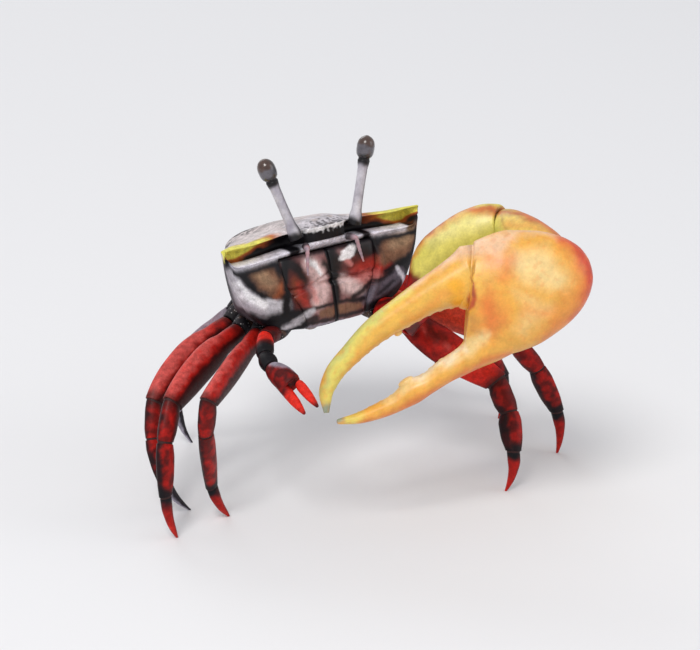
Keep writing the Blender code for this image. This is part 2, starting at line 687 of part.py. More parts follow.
CLAW_ACROSS = Vector((cos(CLAW_AZIMUTH), sin(CLAW_AZIMUTH), 0))
CLAW_OUT = Vector((sin(CLAW_AZIMUTH) * cos(CLAW_ELEVATION), -cos(CLAW_AZIMUTH) * cos(CLAW_ELEVATION),
                   sin(CLAW_ELEVATION)))
CLAW_UP = CLAW_OUT.cross(CLAW_ACROSS)


def claw_point(across, up, out=0.0):
    return CLAW_ORIGIN + CLAW_ACROSS * across + CLAW_UP * up + CLAW_OUT * out


def palm_rings(grow=0.0, count=20):
    """Rings of the palm from its front to its heel, grown to cut its clearance from the wrist."""
    rings = []
    for across in PALM_STATIONS:
        top = smooth(across, PALM_TOP)
        low = smooth(across, PALM_LOW)
        share = max(0.0, (across - PALM_ROUND_FROM) / (HEEL + 0.15 - PALM_ROUND_FROM))
        narrowed = 1 - 0.10 * ramp(PALM_ROUND_FROM - across, 0, 4.9)
        swell = sqrt(1 - share ** 2.3) if share > 0 else narrowed
        lean = PALM_FRONT_LEAN * (1 - ramp(across, -1, 6))
        past_end = grow if across > 17.5 else -1.5 * grow if across < 0 else -0.5 * grow
        centre = claw_point(across + past_end, 0.5 * (top + low))
        up_way = (CLAW_UP + CLAW_ACROSS * lean).normalized()
        half = 0.5 * (top - low) + grow
        rings.append(oval(centre, up_way, CLAW_OUT, half, PALM_OUTER * swell + grow, count,
                          PALM_INNER * swell + grow, power=2.15))
    return rings


def finger_rings(run, count):
    rings = []
    for i, (across, up, half, thick) in enumerate(run):
        before = Vector(run[max(i - 1, 0)][:2])
        after = Vector(run[min(i + 1, len(run) - 1)][:2])
        way = (after - before).normalized()
        height_way = CLAW_ACROSS * -way.y + CLAW_UP * way.x
        rings.append(oval(claw_point(across, up), height_way, CLAW_OUT, half, thick, count, power=2.1))
    return rings


def finger_place(run, share):
    """A point of a finger's middle line, with its direction and half height."""
    spans = [(Vector(b[:2]) - Vector(a[:2])).length for a, b in zip(run, run[1:])]
    left = share * sum(spans)
    for i, span in enumerate(spans):
        if left <= span or i == len(spans) - 1:
            t = min(1.0, left / span)
            place = Vector(run[i][:2]).lerp(Vector(run[i + 1][:2]), t)
            half = run[i][2] + (run[i + 1][2] - run[i][2]) * t
            way = (Vector(run[i + 1][:2]) - Vector(run[i][:2])).normalized()
            return place, way, half
        left -= span


def tooth_row(teeth):
    """Place, radius and height of each tooth of one finger."""
    row = []
    for i in range(int((teeth["last"] - teeth["first"]) / LOW_TOOTH["spacing"]) + 1):
        share = teeth["first"] + i * LOW_TOOTH["spacing"]
        if min(abs(share - large[0]) for large in teeth["large"]) > 0.7 * LOW_TOOTH["spacing"]:
            slimmer = 1 - 0.4 * share ** 2
            row.append((share, LOW_TOOTH["radius"] * slimmer, LOW_TOOTH["height"] * slimmer))
    return row + list(teeth["large"])


def finger_teeth(run, teeth, biting_side):
    made = []
    for share, radius, height in tooth_row(teeth):
        place, way, half = finger_place(run, share)
        normal = Vector((-way.y, way.x)) * biting_side
        seat = place + normal * (half - 0.12)
        out = CLAW_ACROSS * normal.x + CLAW_UP * normal.y
        made.append(tooth("tooth", claw_point(seat.x, seat.y), out, radius, height))
    return made


def build_large_claw():
    palm = loft("major_palm", palm_rings())
    finger = loft("fixed_finger", finger_rings(FIXED_FINGER, 16), CUTTERS)
    fuse(palm, [finger] + finger_teeth(FIXED_FINGER, FIXED_TEETH, -1))
    palm.data.materials.append(CLAW_ORANGE)

    front = [p - CLAW_ACROSS * GAP for p in palm_rings()[0]]
    dactyl_rings = finger_rings(MOVING_FINGER, 16)
    lean_up = (CLAW_UP + CLAW_ACROSS * PALM_FRONT_LEAN).normalized()
    plane_normal = CLAW_OUT.cross(lean_up).normalized()
    along = -CLAW_ACROSS
    dactyl_rings[0] = [onto_plane(p, along, front[0], plane_normal) for p in dactyl_rings[0]]
    dactyl = loft("major_dactyl", dactyl_rings)
    fuse(dactyl, finger_teeth(MOVING_FINGER, MOVING_TEETH, 1))
    dactyl.data.materials.append(CLAW_ORANGE)


def major_root():
    place = socket("left", "large_claw")
    along = (ARM_ROOT - place).normalized()
    share, half_width, half_thick = ARM_COXA[0]
    return place, along, Vector((1, 0, 0)), half_width, half_thick


def major_coxa(grow=0.0, collection=MODEL):
    place, first, thin = major_root()[:3]
    root_cut = (first + (ARM_ELBOW - ARM_ROOT).normalized()).normalized()
    return article("major_coxa", place, ARM_ROOT, ARM_COXA, first, root_cut, thin, count=12,
                   gap_start=GAP / 2 - grow, gap_end=GAP / 2 - grow, grow=grow, collection=collection)


def build_large_arm():
    first = major_root()[1]
    arm = (ARM_ELBOW - ARM_ROOT).normalized()
    fore = (ARM_WRIST - ARM_ELBOW).normalized()
    root_cut = (first + arm).normalized()
    elbow_cut = (arm + fore).normalized()
    major_coxa().data.materials.append(LEG_RED)
    upper = article("major_merus", ARM_ROOT, ARM_ELBOW, ARM_MERUS, root_cut, elbow_cut, CLAW_OUT, count=14,
                    bow=ARM_BOW)
    upper.data.materials.append(ARM_GREEN)
    fore_arm = article("major_carpus", ARM_ELBOW, ARM_WRIST, ARM_CARPUS, elbow_cut, fore, CLAW_UP, count=14,
                       bow=WRIST_BOW)
    cut(fore_arm, [loft("palm_clearance", palm_rings(GAP), CUTTERS)])
    fore_arm.data.materials.append(ARM_GREEN)


# Small claw

def minor_root():
    place = socket("right", "small_claw")
    along = (Vector(SMALL_ARM[0]) - place).normalized()
    share, half_width, half_thick = SMALL_COXA[0]
    return place, along, Vector((0, 0, 1)), half_width, half_thick


def minor_coxa(grow=0.0, collection=MODEL):
    place, first, thin = minor_root()[:3]
    end, beyond = Vector(SMALL_ARM[0]), Vector(SMALL_ARM[1])
    end_cut = (first + (beyond - end).normalized()).normalized()
    return article("minor_coxa", place, end, SMALL_COXA, first, end_cut, thin,
                   gap_start=GAP / 2 - grow, gap_end=GAP / 2 - grow, grow=grow, collection=collection)


def build_small_claw():
    points = [minor_root()[0]] + [Vector(p) for p in SMALL_ARM] + [SMALL_KNUCKLE]
    ways = [(b - a).normalized() for a, b in zip(points, points[1:])]
    cuts = [ways[0]] + [(a + b).normalized() for a, b in zip(ways, ways[1:])] + [ways[-1]]
    finger_way = ((SMALL_TIP_UPPER + SMALL_TIP_LOWER) / 2 - SMALL_KNUCKLE).normalized()
    spread = (SMALL_TIP_UPPER - SMALL_TIP_LOWER).normalized()
    thin = finger_way.cross(spread).normalized()
    made = [minor_coxa()]
    shapes = (("minor_merus", SMALL_MERUS), ("minor_carpus", SMALL_CARPUS), ("minor_palm", SMALL_PALM))
    for i, (name, profile) in enumerate(shapes, 1):
        made.append(article(name, points[i], points[i + 1], profile, cuts[i], cuts[i + 1], thin, count=12))
    along = ways[-1]
    lower = SMALL_KNUCKLE - spread * SMALL_FINGER_SPREAD - along * 2.2
    fixed = article("fixed_finger", lower, SMALL_TIP_LOWER, SMALL_FIXED, along, finger_way, thin, count=8,
                    gap_start=0.0, gap_end=0.0, collection=CUTTERS)
    fuse(made[-1], [fixed])
    upper = onto_plane(SMALL_KNUCKLE + spread * SMALL_FINGER_SPREAD, along, SMALL_KNUCKLE, along)
    made.append(article("minor_dactyl", upper, SMALL_TIP_UPPER, SMALL_MOVING, along, finger_way, thin,
                        count=8, gap_end=0.0))
    for piece in made:
        piece.data.materials.append(SMALL_RED)


def finish_objects():
    """Scale to metres, centre on the stance, set each origin at its node's middle and shade."""
    stand = bpy.data.objects.new("crab_stance", None)
    MODEL.objects.link(stand)
    shift = Matrix.Translation(STANCE_SHIFT * MM) @ Matrix.Scale(MM, 4)
    for piece in MODEL.objects:
        if piece.type != "MESH":
            continue
        piece.data.transform(shift)
        corners = [Vector(c) for c in piece.bound_box]
        middle = (corners[0] + corners[6]) / 2
        piece.data.transform(Matrix.Translation(-middle))
        piece.location = middle
        piece.parent = stand
        piece.data.shade_smooth()
        piece.data.set_sharp_from_angle(angle=radians(40))
    for cutter in list(CUTTERS.objects):
        bpy.data.objects.remove(cutter, do_unlink=True)


def main():
    sides = ("right", "left")
    roots = [leg_root(side, number) for side in sides for number in LEG_SIZES]
    roots += [major_root(), minor_root()]
    build_thorax(roots)
    shell = build_body()
    cutters = thorax_clearance(roots)
    cutters += [major_coxa(GAP, CUTTERS), minor_coxa(GAP, CUTTERS)]
    cutters.append(mouth_recess())
    cutters += [eye_socket(side) for side in sides]
    cutters += [antenna_socket(side) for side in sides]
    for cutter in cutters:
        cut(shell, [cutter])
    build_abdomen()
    for side in sides:
        build_mouth_plate(side)
        build_eye(side)
        build_antenna(side)
        for number in LEG_SIZES:
            build_leg(side, number)
    build_large_claw()
    build_large_arm()
    build_small_claw()
    finish_objects()


main()
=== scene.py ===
"""Looks of a fiddler crab, an adult male at life size, standing with its large claw across its face.

Shapes are worked out in millimetres, in the crab's stance, and turned into metres when a
mesh is made. The crab looks along -Y and +X is its left side.
"""
from math import cos, pi, radians, sin
import bpy
import numpy as np
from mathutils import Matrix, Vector, noise


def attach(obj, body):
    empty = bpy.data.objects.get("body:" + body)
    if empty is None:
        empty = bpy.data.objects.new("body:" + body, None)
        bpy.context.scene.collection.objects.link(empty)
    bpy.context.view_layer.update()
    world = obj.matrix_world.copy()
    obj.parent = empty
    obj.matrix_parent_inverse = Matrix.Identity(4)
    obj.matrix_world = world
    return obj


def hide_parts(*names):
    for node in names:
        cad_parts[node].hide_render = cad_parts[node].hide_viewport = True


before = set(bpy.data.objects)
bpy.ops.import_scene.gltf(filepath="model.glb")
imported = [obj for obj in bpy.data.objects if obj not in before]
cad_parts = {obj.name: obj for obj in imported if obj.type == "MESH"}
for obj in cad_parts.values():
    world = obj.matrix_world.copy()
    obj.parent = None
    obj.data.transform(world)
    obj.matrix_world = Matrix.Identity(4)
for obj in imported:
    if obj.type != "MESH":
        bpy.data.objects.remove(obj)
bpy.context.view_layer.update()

MM = 0.001
GAP = 0.3
X, Y, Z = np.eye(3)

# Stance: the middle of the body, how far its front and its left side are raised, and the shift
# to the shared frame.
BODY_MIDDLE = np.array((-0.3, 0.0, 42.0))
NOSE_RAISED = radians(14)
LEFT_RAISED = radians(1.7)
STANCE_SHIFT = np.array((-2.665, 15.825, 0.0))
SIDES = {"right": -1, "left": 1}

# Picture: the camera looks down at the crab's right front, and the point between the eyes'
# feet lies at the pixel below.
VIEW_AZIMUTH = radians(-32)
VIEW_ELEVATION = radians(18)
VIEW_DISTANCE = 420.0
VIEW_TARGET = np.array((0.0, 0.0, 42.0))
PICTURE_SIZE = (700, 650)
TARGET_PIXEL = (293, 214)
PIXELS_PER_MM = 6.27
SENSOR_WIDTH = 36.0

# Carapace, by distance from the midline: margins seen from above and heights.
HALF_WIDTH = 18.0
FRONT_MARGIN = ((0, 11.0), (2.2, 10.8), (3.4, 10.2), (4.6, 9.4), (6, 8.8), (9, 9.0), (13, 9.2), (16, 8.9),
                (18, 9.6))
BACK_MARGIN = ((0, -11.0), (5, -11.0), (6.6, -10.2), (8.6, -7.6), (11.2, -3.2), (14.6, 2.4), (17, 6.2),
               (18, 8.2))
LOWER_MARGIN = ((0, -17.0), (8, -16.6), (12, -15.2), (14, -13.3), (15.6, -10.5), (16.8, -7.4),
                (17.5, -5.5), (18, -4.0))
CREST = ((0, 0.3), (3, 0.1), (7, -0.9), (11, -1.5), (15, -1.8), (18, -1.8))
FRONT_DROP = ((0, 1.7), (4, 1.4), (8, 0.6), (14, 0.3), (18, 0.2))
BACK_DROP = ((0, 2.6), (8, 2.8), (11, 2.4), (14, 1.3), (18, 0.3))
FACE_BULGE = ((0, 0.1), (4, 0.5), (9, 0.9), (13, 0.7), (16, 0.3), (18, 0.0))
# How far the back falls behind the front edge, as a share of its length.
BACK_SAG = 0.05
# Depth of the grooves of the back.
BACK_GROOVE = 0.35
ORBIT_INNER, ORBIT_OUTER = 4.4, 17.0
ORBIT_DEPTH = 1.8
ORBIT_HEIGHT = 2.7
FACE_LINE = 9.3

# Mouth frame
MOUTH_HALF_WIDTH_TOP, MOUTH_HALF_WIDTH_LOW = 8.6, 5.3
MOUTH_TOP, MOUTH_LOW = -5.2, -16.9
MOUTH_FLOOR = 7.2
MOUTH_ROWS = ((0, -0.55), (0.6, -0.1), (3, 0.15), (5.8, 0.2), (6.5, -0.3), (7.2, 0.2), (9.4, 0.15),
              (11.2, -0.1), (11.7, -0.6))
MOUTH_LEVELS = 90
PLATE_BACK, PLATE_FRONT = 7.4, 9.5

# Thorax
THORAX_TOP, THORAX_FRONT, THORAX_BACK, THORAX_HALF_WIDTH = -11.2, 5.4, -8.6, 9.6
THORAX_FRONT_LOW, THORAX_BACK_LOW = -17.7, -14.9
STUB_LENGTH = 4.6
SOCKETS = {
    "large_claw": (8.8, 8.2, -16.9),
    "small_claw": (10.8, 7.6, -16.5),
    1: (12.0, 4.2, -16.9),
    2: (13.2, 0.6, -16.1),
    3: (12.0, -4.0, -15.2),
    4: (9.4, -7.2, -14.0),
}

# Walking legs
LEG_SIZES = {
    1: dict(wrist=5.3, toe=6.6, width=2.6, thick=1.35),
    2: dict(wrist=6.0, toe=7.5, width=2.5, thick=1.35),
    3: dict(wrist=5.6, toe=7.6, width=2.3, thick=1.25),
    4: dict(wrist=4.8, toe=6.8, width=1.9, thick=1.1),
}
LEG_POSE = {
    ("right", 1): dict(knee=(-26.9, -18.7, 22.0), foot=(-21.0, -14.2), toe_lean=27, bow=0.08),
    ("right", 2): dict(knee=(-29.7, -12.4, 20.2), foot=(-31.7, -16.6), toe_lean=14, bow=0.33),
    ("right", 3): dict(knee=(-28.0, -4.0, 17.2), foot=(-24.9, -8.7), toe_lean=36, bow=0.48),
    ("right", 4): dict(knee=(-16.6, 10.0, 15.4), foot=(-11.0, 14.6), toe_lean=22, bow=0.5),
    ("left", 1): dict(knee=(23.6, -23.7, 16.0), foot=(21.0, -30.2), toe_lean=12, bow=-0.1),
    ("left", 2): dict(knee=(30.2, -19.7, 20.1), foot=(37.3, -22.4), toe_lean=-2, bow=0.4),
    ("left", 3): dict(knee=(28.4, -2.6, 22.4), foot=(38.1, -5.1), toe_lean=6, bow=0.5),
    ("left", 4): dict(knee=(26.4, 7.6, 22.4), foot=(37.2, 13.0), toe_lean=8, bow=0.5),
}
WRIST_BEND = 0.2
LEG_MERUS = ((0, 0.66, 1.08), (0.10, 0.70, 1.1), (0.20, 0.74, 1.0), (0.34, 0.99, 1.0), (0.52, 1.12, 1.0),
             (0.70, 1.09, 0.98), (0.85, 0.96, 1.0), (1, 0.74, 1.02))
LEG_CARPUS = ((0, 0.62, 0.95), (0.30, 0.70, 1.0), (0.66, 0.70, 0.98), (1, 0.58, 0.86))
LEG_PROPODUS = ((0, 0.60, 0.84), (0.25, 0.72, 0.86), (0.6, 0.68, 0.80), (1, 0.48, 0.68))
LEG_TOE = ((0, 0.40, 0.62), (0.18, 0.42, 0.60), (0.45, 0.35, 0.52), (0.75, 0.25, 0.42))
TOE_BOW = 0.2
# The toes of the visual model end in a finer point than the flats of the solids.
TOE_POINT = 0.2
TOE_SLIMMER = 0.3

# Large claw
CLAW_ORIGIN = np.array((9.8, -36.1, 38.2))
CLAW_AZIMUTH = radians(-32)
CLAW_ELEVATION = radians(18)
PALM_TOP = ((-0.9, 7.3), (1.5, 8.2), (5, 8.9), (9, 8.8), (12.5, 8.1), (15.5, 6.6), (17.3, 4.4), (17.9, 2.4))
PALM_LOW = ((-0.9, -8.6), (1.5, -9.8), (5, -9.8), (9, -8.7), (12.5, -6.6), (15.5, -4.0), (17.3, -1.2),
            (17.9, 0.8))
PALM_OUTER, PALM_INNER = 5.3, 4.1
PALM_FRONT, PALM_ROUND_FROM, HEEL = -0.9, 4.0, 17.9
HEEL_FROM, HEEL_LENGTH = 15.5, 2.36
PALM_FRONT_LEAN = 0.10
PALM_VOXEL = 0.24
# Fingers: places (across, up, half height, half thickness) from the root to the tip.
FIXED_FINGER = ((6.0, -5.0, 4.2, 3.6), (1.8, -8.3, 3.1, 3.6), (-1.6, -10.7, 2.1, 3.1),
                (-4.6, -12.4, 1.85, 2.7), (-7.0, -14.1, 1.65, 2.4), (-9.3, -15.3, 1.95, 2.3),
                (-11.8, -17.0, 1.45, 2.0), (-14.4, -18.2, 1.25, 1.7), (-17.9, -19.4, 0.85, 1.2),
                (-21.0, -19.9, 0.4, 0.55))
MOVING_FINGER = ((-0.35, 1.8, 5.2, 3.7), (-3.0, 0.9, 3.8, 3.5), (-6.8, -0.8, 2.85, 3.1),
                 (-11.0, -3.4, 2.4, 2.7), (-15.0, -6.1, 2.05, 2.4), (-18.6, -9.5, 1.65, 2.0),
                 (-21.5, -12.9, 1.4, 1.6), (-22.6, -16.0, 1.0, 1.15), (-22.5, -18.5, 0.42, 0.5))
LOW_TOOTH = dict(radius=0.56, height=0.22, spacing=0.06)
FIXED_TEETH = dict(first=0.40, last=0.88, large=((0.6, 1.3, 0.5),))
MOVING_TEETH = dict(first=0.14, last=0.86, large=((0.44, 0.7, 0.65),))
# Rings of a tooth: below zero a depth under its seat, above zero an angle up its dome.
TOOTH_ANGLES = (-0.8, -0.3, 0, 0.25, 0.5, 0.75, 1.0, 1.2, 1.4, 1.5)
# Collar in the joint of the moving finger: a step along the claw and a scale for each ring.
COLLAR = ((-0.9, 0.94), (-0.3, 0.985), (0.0, 0.995), (0.15, 1.0), (0.35, 1.0), (1.2, 0.98))

# Arm of the large claw
ARM_ROOT = np.array((10.6, -17.2, 27.4))
ARM_ELBOW = np.array((21.8, -27.4, 43.2))
ARM_WRIST = np.array((23.6, -41.2, 40.6))
ARM_COXA = ((0, 2.0, 2.2), (0.45, 2.45, 2.6), (1, 2.3, 2.4))
ARM_MERUS = ((0, 2.6, 2.2), (0.17, 3.4, 2.8), (0.34, 4.6, 3.3), (0.55, 5.35, 3.5), (0.72, 5.3, 3.4),
             (0.87, 4.7, 3.2), (1, 3.5, 2.6))
ARM_CARPUS = ((0, 3.2, 2.7), (0.2, 3.7, 3.7), (0.38, 3.9, 4.05), (0.58, 3.8, 3.9), (0.8, 3.2, 3.3),
              (1, 2.2, 2.2))
ARM_BOW, WRIST_BOW = -2.3, 0.4

# Small claw
SMALL_ARM = np.array(((-13.6, -13.6, 28.2), (-16.3, -17.9, 27.0), (-17.2, -21.3, 26.45)))
SMALL_KNUCKLE = np.array((-16.7, -26.5, 25.05))
SMALL_TIP_UPPER = np.array((-15.9, -32.2, 23.45))
SMALL_TIP_LOWER = np.array((-17.7, -31.4, 22.45))
SMALL_COXA = ((0, 1.35, 1.35), (0.5, 1.42, 1.42), (1, 1.2, 1.2))
SMALL_MERUS = ((0, 1.15, 1.15), (0.4, 1.4, 1.3), (0.75, 1.42, 1.3), (1, 1.1, 1.05))
SMALL_CARPUS = ((0, 1.1, 1.05), (0.5, 1.45, 1.35), (1, 1.2, 1.1))
SMALL_PALM = ((0, 1.2, 1.1), (0.2, 1.6, 1.35), (0.55, 1.85, 1.5), (0.85, 1.8, 1.4), (1, 1.55, 1.25))
SMALL_FIXED = ((0, 0.9, 0.95), (0.35, 0.85, 0.85), (0.6, 0.78, 0.72), (0.85, 0.5, 0.5), (1, 0.22, 0.25))
SMALL_MOVING = ((0, 0.68, 0.8), (0.2, 0.78, 0.82), (0.5, 0.7, 0.7), (0.8, 0.48, 0.48), (1, 0.22, 0.25))
SMALL_FINGER_SPREAD = 0.95
SMALL_FINGER_AROUND = 28

# Eyes, feelers and tail flap
EYE_BASE = (5.4, 9.9, -2.4)
EYE_TOP = {"right": np.array((-10.2, -7.8, 54.8)), "left": np.array((8.1, -9.4, 56.1))}
# Share of the way from the base to the top that the stalk takes up.
EYE_SHARE = 0.735
STALK_AROUND, EYE_AROUND, FEELER_AROUND = 40, 48, 16
EYE_RING_HALVES = (0.6, 0.86, 0.9, 0.6)
STALK_PROFILE = ((0.0, 1.1), (0.09, 1.05), (0.18, 0.82), (0.40, 0.76), (0.62, 0.80), (0.695, 0.95),
                 (EYE_SHARE, 1.0))
EYE_PROFILE = ((0.0, 1.02), (0.10, 1.26), (0.28, 1.40), (0.50, 1.42), (0.70, 1.30), (0.86, 0.98),
               (0.96, 0.52), (1.0, 0.16))
FEELER = ((3.9, 9.7, -4.0), (4.5, 11.1, -4.3), (5.2, 11.2, -8.3))
FEELER_WIDTHS = (0.55, 0.5, 0.36, 0.27, 0.13)
FLAP_PATH = ((-11.35, -4.3), (-11.0, -7.5), (-10.45, -10.8), (-9.9, -13.4), (-9.0, -15.0), (-7.0, -15.6),
             (-4.6, -16.2), (-1.6, -16.95), (1.2, -17.55))
FLAP_WIDTHS = (4.8, 4.7, 4.5, 4.1, 3.7, 3.3, 2.8, 2.1, 0.9)
FLAP_THICK = 1.15
FLAP_ROWS = 90
FLAP_SEGMENTS = 6.5


# Number tools

def curve(x, knots):
    """Monotone cubic curve through a short list of (place, value) knots."""
    xs, ys = np.array(knots, float).T
    x = np.clip(x, xs[0], xs[-1])
    slope = np.diff(ys) / np.diff(xs)
    tangent = np.concatenate((slope[:1], np.zeros(len(xs) - 2), slope[-1:]))
    same_way = slope[:-1] * slope[1:] > 0
    total = np.where(same_way, slope[:-1] + slope[1:], 1.0)
    tangent[1:-1] = np.where(same_way, 2 * slope[:-1] * slope[1:] / total, 0.0)
    i = np.clip(np.searchsorted(xs, x, side="right") - 1, 0, len(xs) - 2)
    step = xs[i + 1] - xs[i]
    t = (x - xs[i]) / step
    return ((2 * t**3 - 3 * t**2 + 1) * ys[i] + (t**3 - 2 * t**2 + t) * step * tangent[i]
            + (3 * t**2 - 2 * t**3) * ys[i + 1] + (t**3 - t**2) * step * tangent[i + 1])


def ramp(x, low, high):
    """Smooth step from 0 at low to 1 at high."""
    t = np.clip((np.asarray(x, float) - low) / (high - low), 0, 1)
    return t * t * (3 - 2 * t)


def fall(x, low, high):
    """Smooth step from 1 at low to 0 at high."""
    return 1 - ramp(x, low, high)


def unit(v):
    v = np.asarray(v, float)
    return v / np.linalg.norm(v, axis=-1, keepdims=True)


def body_point(left, forward, up):
    """Places given in the body's own directions, in the stance."""
    left, forward, up = np.broadcast_arrays(left, forward, up)
    c, s = cos(LEFT_RAISED), sin(LEFT_RAISED)
    left, up = c * left - s * up, s * left + c * up
    c, s = cos(NOSE_RAISED), sin(NOSE_RAISED)
    return np.stack((left, -c * forward + s * up, s * forward + c * up), axis=-1) + BODY_MIDDLE


def rough(points, size, seed=0.0):
    """Smooth noise, about -1 to 1, at points given in millimetres, with lumps of this size."""
    shift = Vector((seed, -seed, 2 * seed))
    return np.array([noise.noise(Vector(p) / size + shift) for p in np.reshape(points, (-1, 3))])


def closed_curve(loops, per_span):
    """Rows of closed loops, each refined by a smooth curve through its points."""
    before, after, beyond = np.roll(loops, 1, 1), np.roll(loops, -1, 1), np.roll(loops, -2, 1)
    t = (np.arange(per_span) / per_span)[None, None, :, None]
    p0, p1, p2, p3 = (a[:, :, None, :] for a in (before, loops, after, beyond))
    fine = 0.5 * (2 * p1 + (p2 - p0) * t + (2 * p0 - 5 * p1 + 4 * p2 - p3) * t**2
                  + (3 * p1 - p0 - 3 * p2 + p3) * t**3)
    return fine.reshape(len(loops), -1, loops.shape[-1])


# Mesh tools

def mesh_object(name, points, faces):
    mesh = bpy.data.meshes.new(name)
    mesh.from_pydata(((np.asarray(points) + STANCE_SHIFT) * MM).tolist(), [], faces)
    mesh.update()
    mesh.shade_smooth()
    made = bpy.data.objects.new(name, mesh)
    bpy.context.scene.collection.objects.link(made)
    return made


def skin(rows):
    """Points and faces of a closed skin through rows of rings, with a point at each end."""
    rows = np.asarray(rows, float)
    count, around = rows.shape[:2]
    points = np.concatenate((rows.reshape(-1, 3), [rows[0].mean(0)], [rows[-1].mean(0)]))
    index = np.arange(count * around).reshape(count, around)
    nxt = np.roll(index, -1, 1)
    faces = np.stack((index[:-1], nxt[:-1], nxt[1:], index[1:]), -1).reshape(-1, 4).tolist()
    first, last = count * around, count * around + 1
    faces += [(first, b, a) for a, b in zip(index[0], nxt[0])]
    faces += [(last, a, b) for a, b in zip(index[-1], nxt[-1])]
    faces = [tuple(int(i) for i in f) for f in faces]
    centred = points - points.mean(0)
    corners = np.array([f[:3] for f in faces])
    a, b, c = (centred[corners[:, k]] for k in range(3))
    if np.einsum("ij,ij->", a, np.cross(b, c)) < 0:
        faces = [f[::-1] for f in faces]
    return points, faces


def joined(parts):
    """Several (points, faces) as one."""
    points, faces, start = [], [], 0
    for p, f in parts:
        points.append(p)
        faces += [tuple(i + start for i in face) for face in f]
        start += len(p)
    return np.concatenate(points), faces


def oval(centre, side, rise, half_side, half_rise, count, half_fall=None, power=2.0):
    """A ring round a centre, in the plane of two directions."""
    angle = 2 * pi * np.arange(count) / count
    c, s = np.cos(angle), np.sin(angle)
    reach = np.where(s >= 0, half_rise, half_rise if half_fall is None else half_fall)
    c = np.abs(c) ** (2 / power) * np.sign(c)
    s = np.abs(s) ** (2 / power) * np.sign(s)
    return centre + np.outer(half_side * c, side) + np.outer(reach * s, rise)


def end_spacing(length, rim, rows):
    """Shares of a length: even along it, closer at both rounded rims."""
    turn = 0.5 - 0.5 * np.cos(np.linspace(0, pi, rows))
    even = np.linspace(0, 1, rows)
    close = np.concatenate((np.array((0, 0.1, 0.3, 0.6, 1.0)) * rim / length,
                            1 - np.array((1.0, 0.6, 0.3, 0.1, 0)) * rim / length))
    return np.unique(np.concatenate((0.3 * turn + 0.7 * even, close)).clip(0, 1))


def article_rows(start, end, stations, start_normal, end_normal, thin_way, around=36, rows=40, bow=0.0,
                 gap_start=GAP / 2, gap_end=GAP / 2, rim=0.16, power=2.0):
    """Rings of one article of a limb, cut flat at both joints, and each ring's share of its length."""
    start, end = np.array(start, float), np.array(end, float)
    length = np.linalg.norm(end - start)
    along = unit(end - start)
    thin = unit(thin_way - along * np.dot(thin_way, along))
    wide = np.cross(along, thin)
    table = np.array(stations, float)
    shares = end_spacing(length, rim, rows)
    rings = []
    for share in shares:
        half_width = curve(share, table[:, :2])
        half_thick = curve(share, table[:, ::2])
        from_end = min(share, 1 - share) * length
        if from_end < rim:
            shrink = rim * (1 - np.sqrt(1 - (1 - from_end / rim) ** 2))
            half_width, half_thick = half_width - shrink, half_thick - shrink
        middle = start + (end - start) * share + wide * (bow * 4 * share * (1 - share))
        ring = oval(middle, wide, thin, half_width, half_thick, around, power=power)
        lean_in = (gap_start - (ring - middle) @ start_normal) / (along @ start_normal)
        lean_out = (gap_end + (ring - middle) @ end_normal) / (along @ end_normal)
        lean = fall(share, 0, 0.45) * lean_in - ramp(share, 0.55, 1) * lean_out
        rings.append(ring + np.outer(lean, along))
    return np.array(rings), shares


SOCKET_PROFILE = ((0.90, 0.05), (0.80, 0.5), (0.68, 1.0))


def with_sockets(rings, depth=0.7):
    """The rings of an article with a hollow behind the rim at each end."""
    def hollow(edge, inner):
        middle = edge.mean(0)
        inward = unit(inner.mean(0) - middle)
        return [middle + (edge - middle) * scale + inward * depth * share
                for scale, share in SOCKET_PROFILE]

    return np.concatenate((hollow(rings[0], rings[4])[::-1], rings, hollow(rings[-1], rings[-5])))


def along_skin(values, around):
    """The value of its ring for each point of a skin."""
    return np.append(np.repeat(values, around), (values[0], values[-1]))


def socketed_share(shares, rings):
    """The share of an article's length for each point of its skin, hollows too."""
    extra = (len(rings) - len(shares)) // 2
    return along_skin(np.pad(shares, extra, mode="edge"), rings.shape[1])


def outward(rings):
    """The way out from the middle of its ring for each point of a skin."""
    ways = unit(rings - rings.mean(1, keepdims=True)).reshape(-1, 3)
    return np.concatenate((ways, np.zeros((2, 3))))


SLEEVE_PROFILE = ((0, 0.86), (0.2, 0.96), (0.35, 1.0), (0.5, 1.02), (0.65, 1.0), (0.8, 0.96), (1, 0.86))


def membrane_rows(edge_a, edge_b, fill=0.96, reach=0.5):
    """A soft sleeve between two facing rims, sunk a little behind both."""
    middle_a, middle_b = edge_a.mean(0), edge_b.mean(0)
    way = unit(middle_b - middle_a)
    rows = []
    for share, full in SLEEVE_PROFILE:
        ring = (edge_a - middle_a) * (1 - share) + (edge_b - middle_b) * share
        middle = (middle_a - way * reach) * (1 - share) + (middle_b + way * reach) * share
        rows.append(middle + ring * fill * full)
    return rows


# Colour tools

def tint(red, green, blue):
    """A colour given as it looks on a screen, 0 to 255, as the linear colour of a shader."""
    c = np.array((red, green, blue)) / 255.0
    return np.where(c <= 0.04045, c / 12.92, ((c + 0.055) / 1.055) ** 2.4)


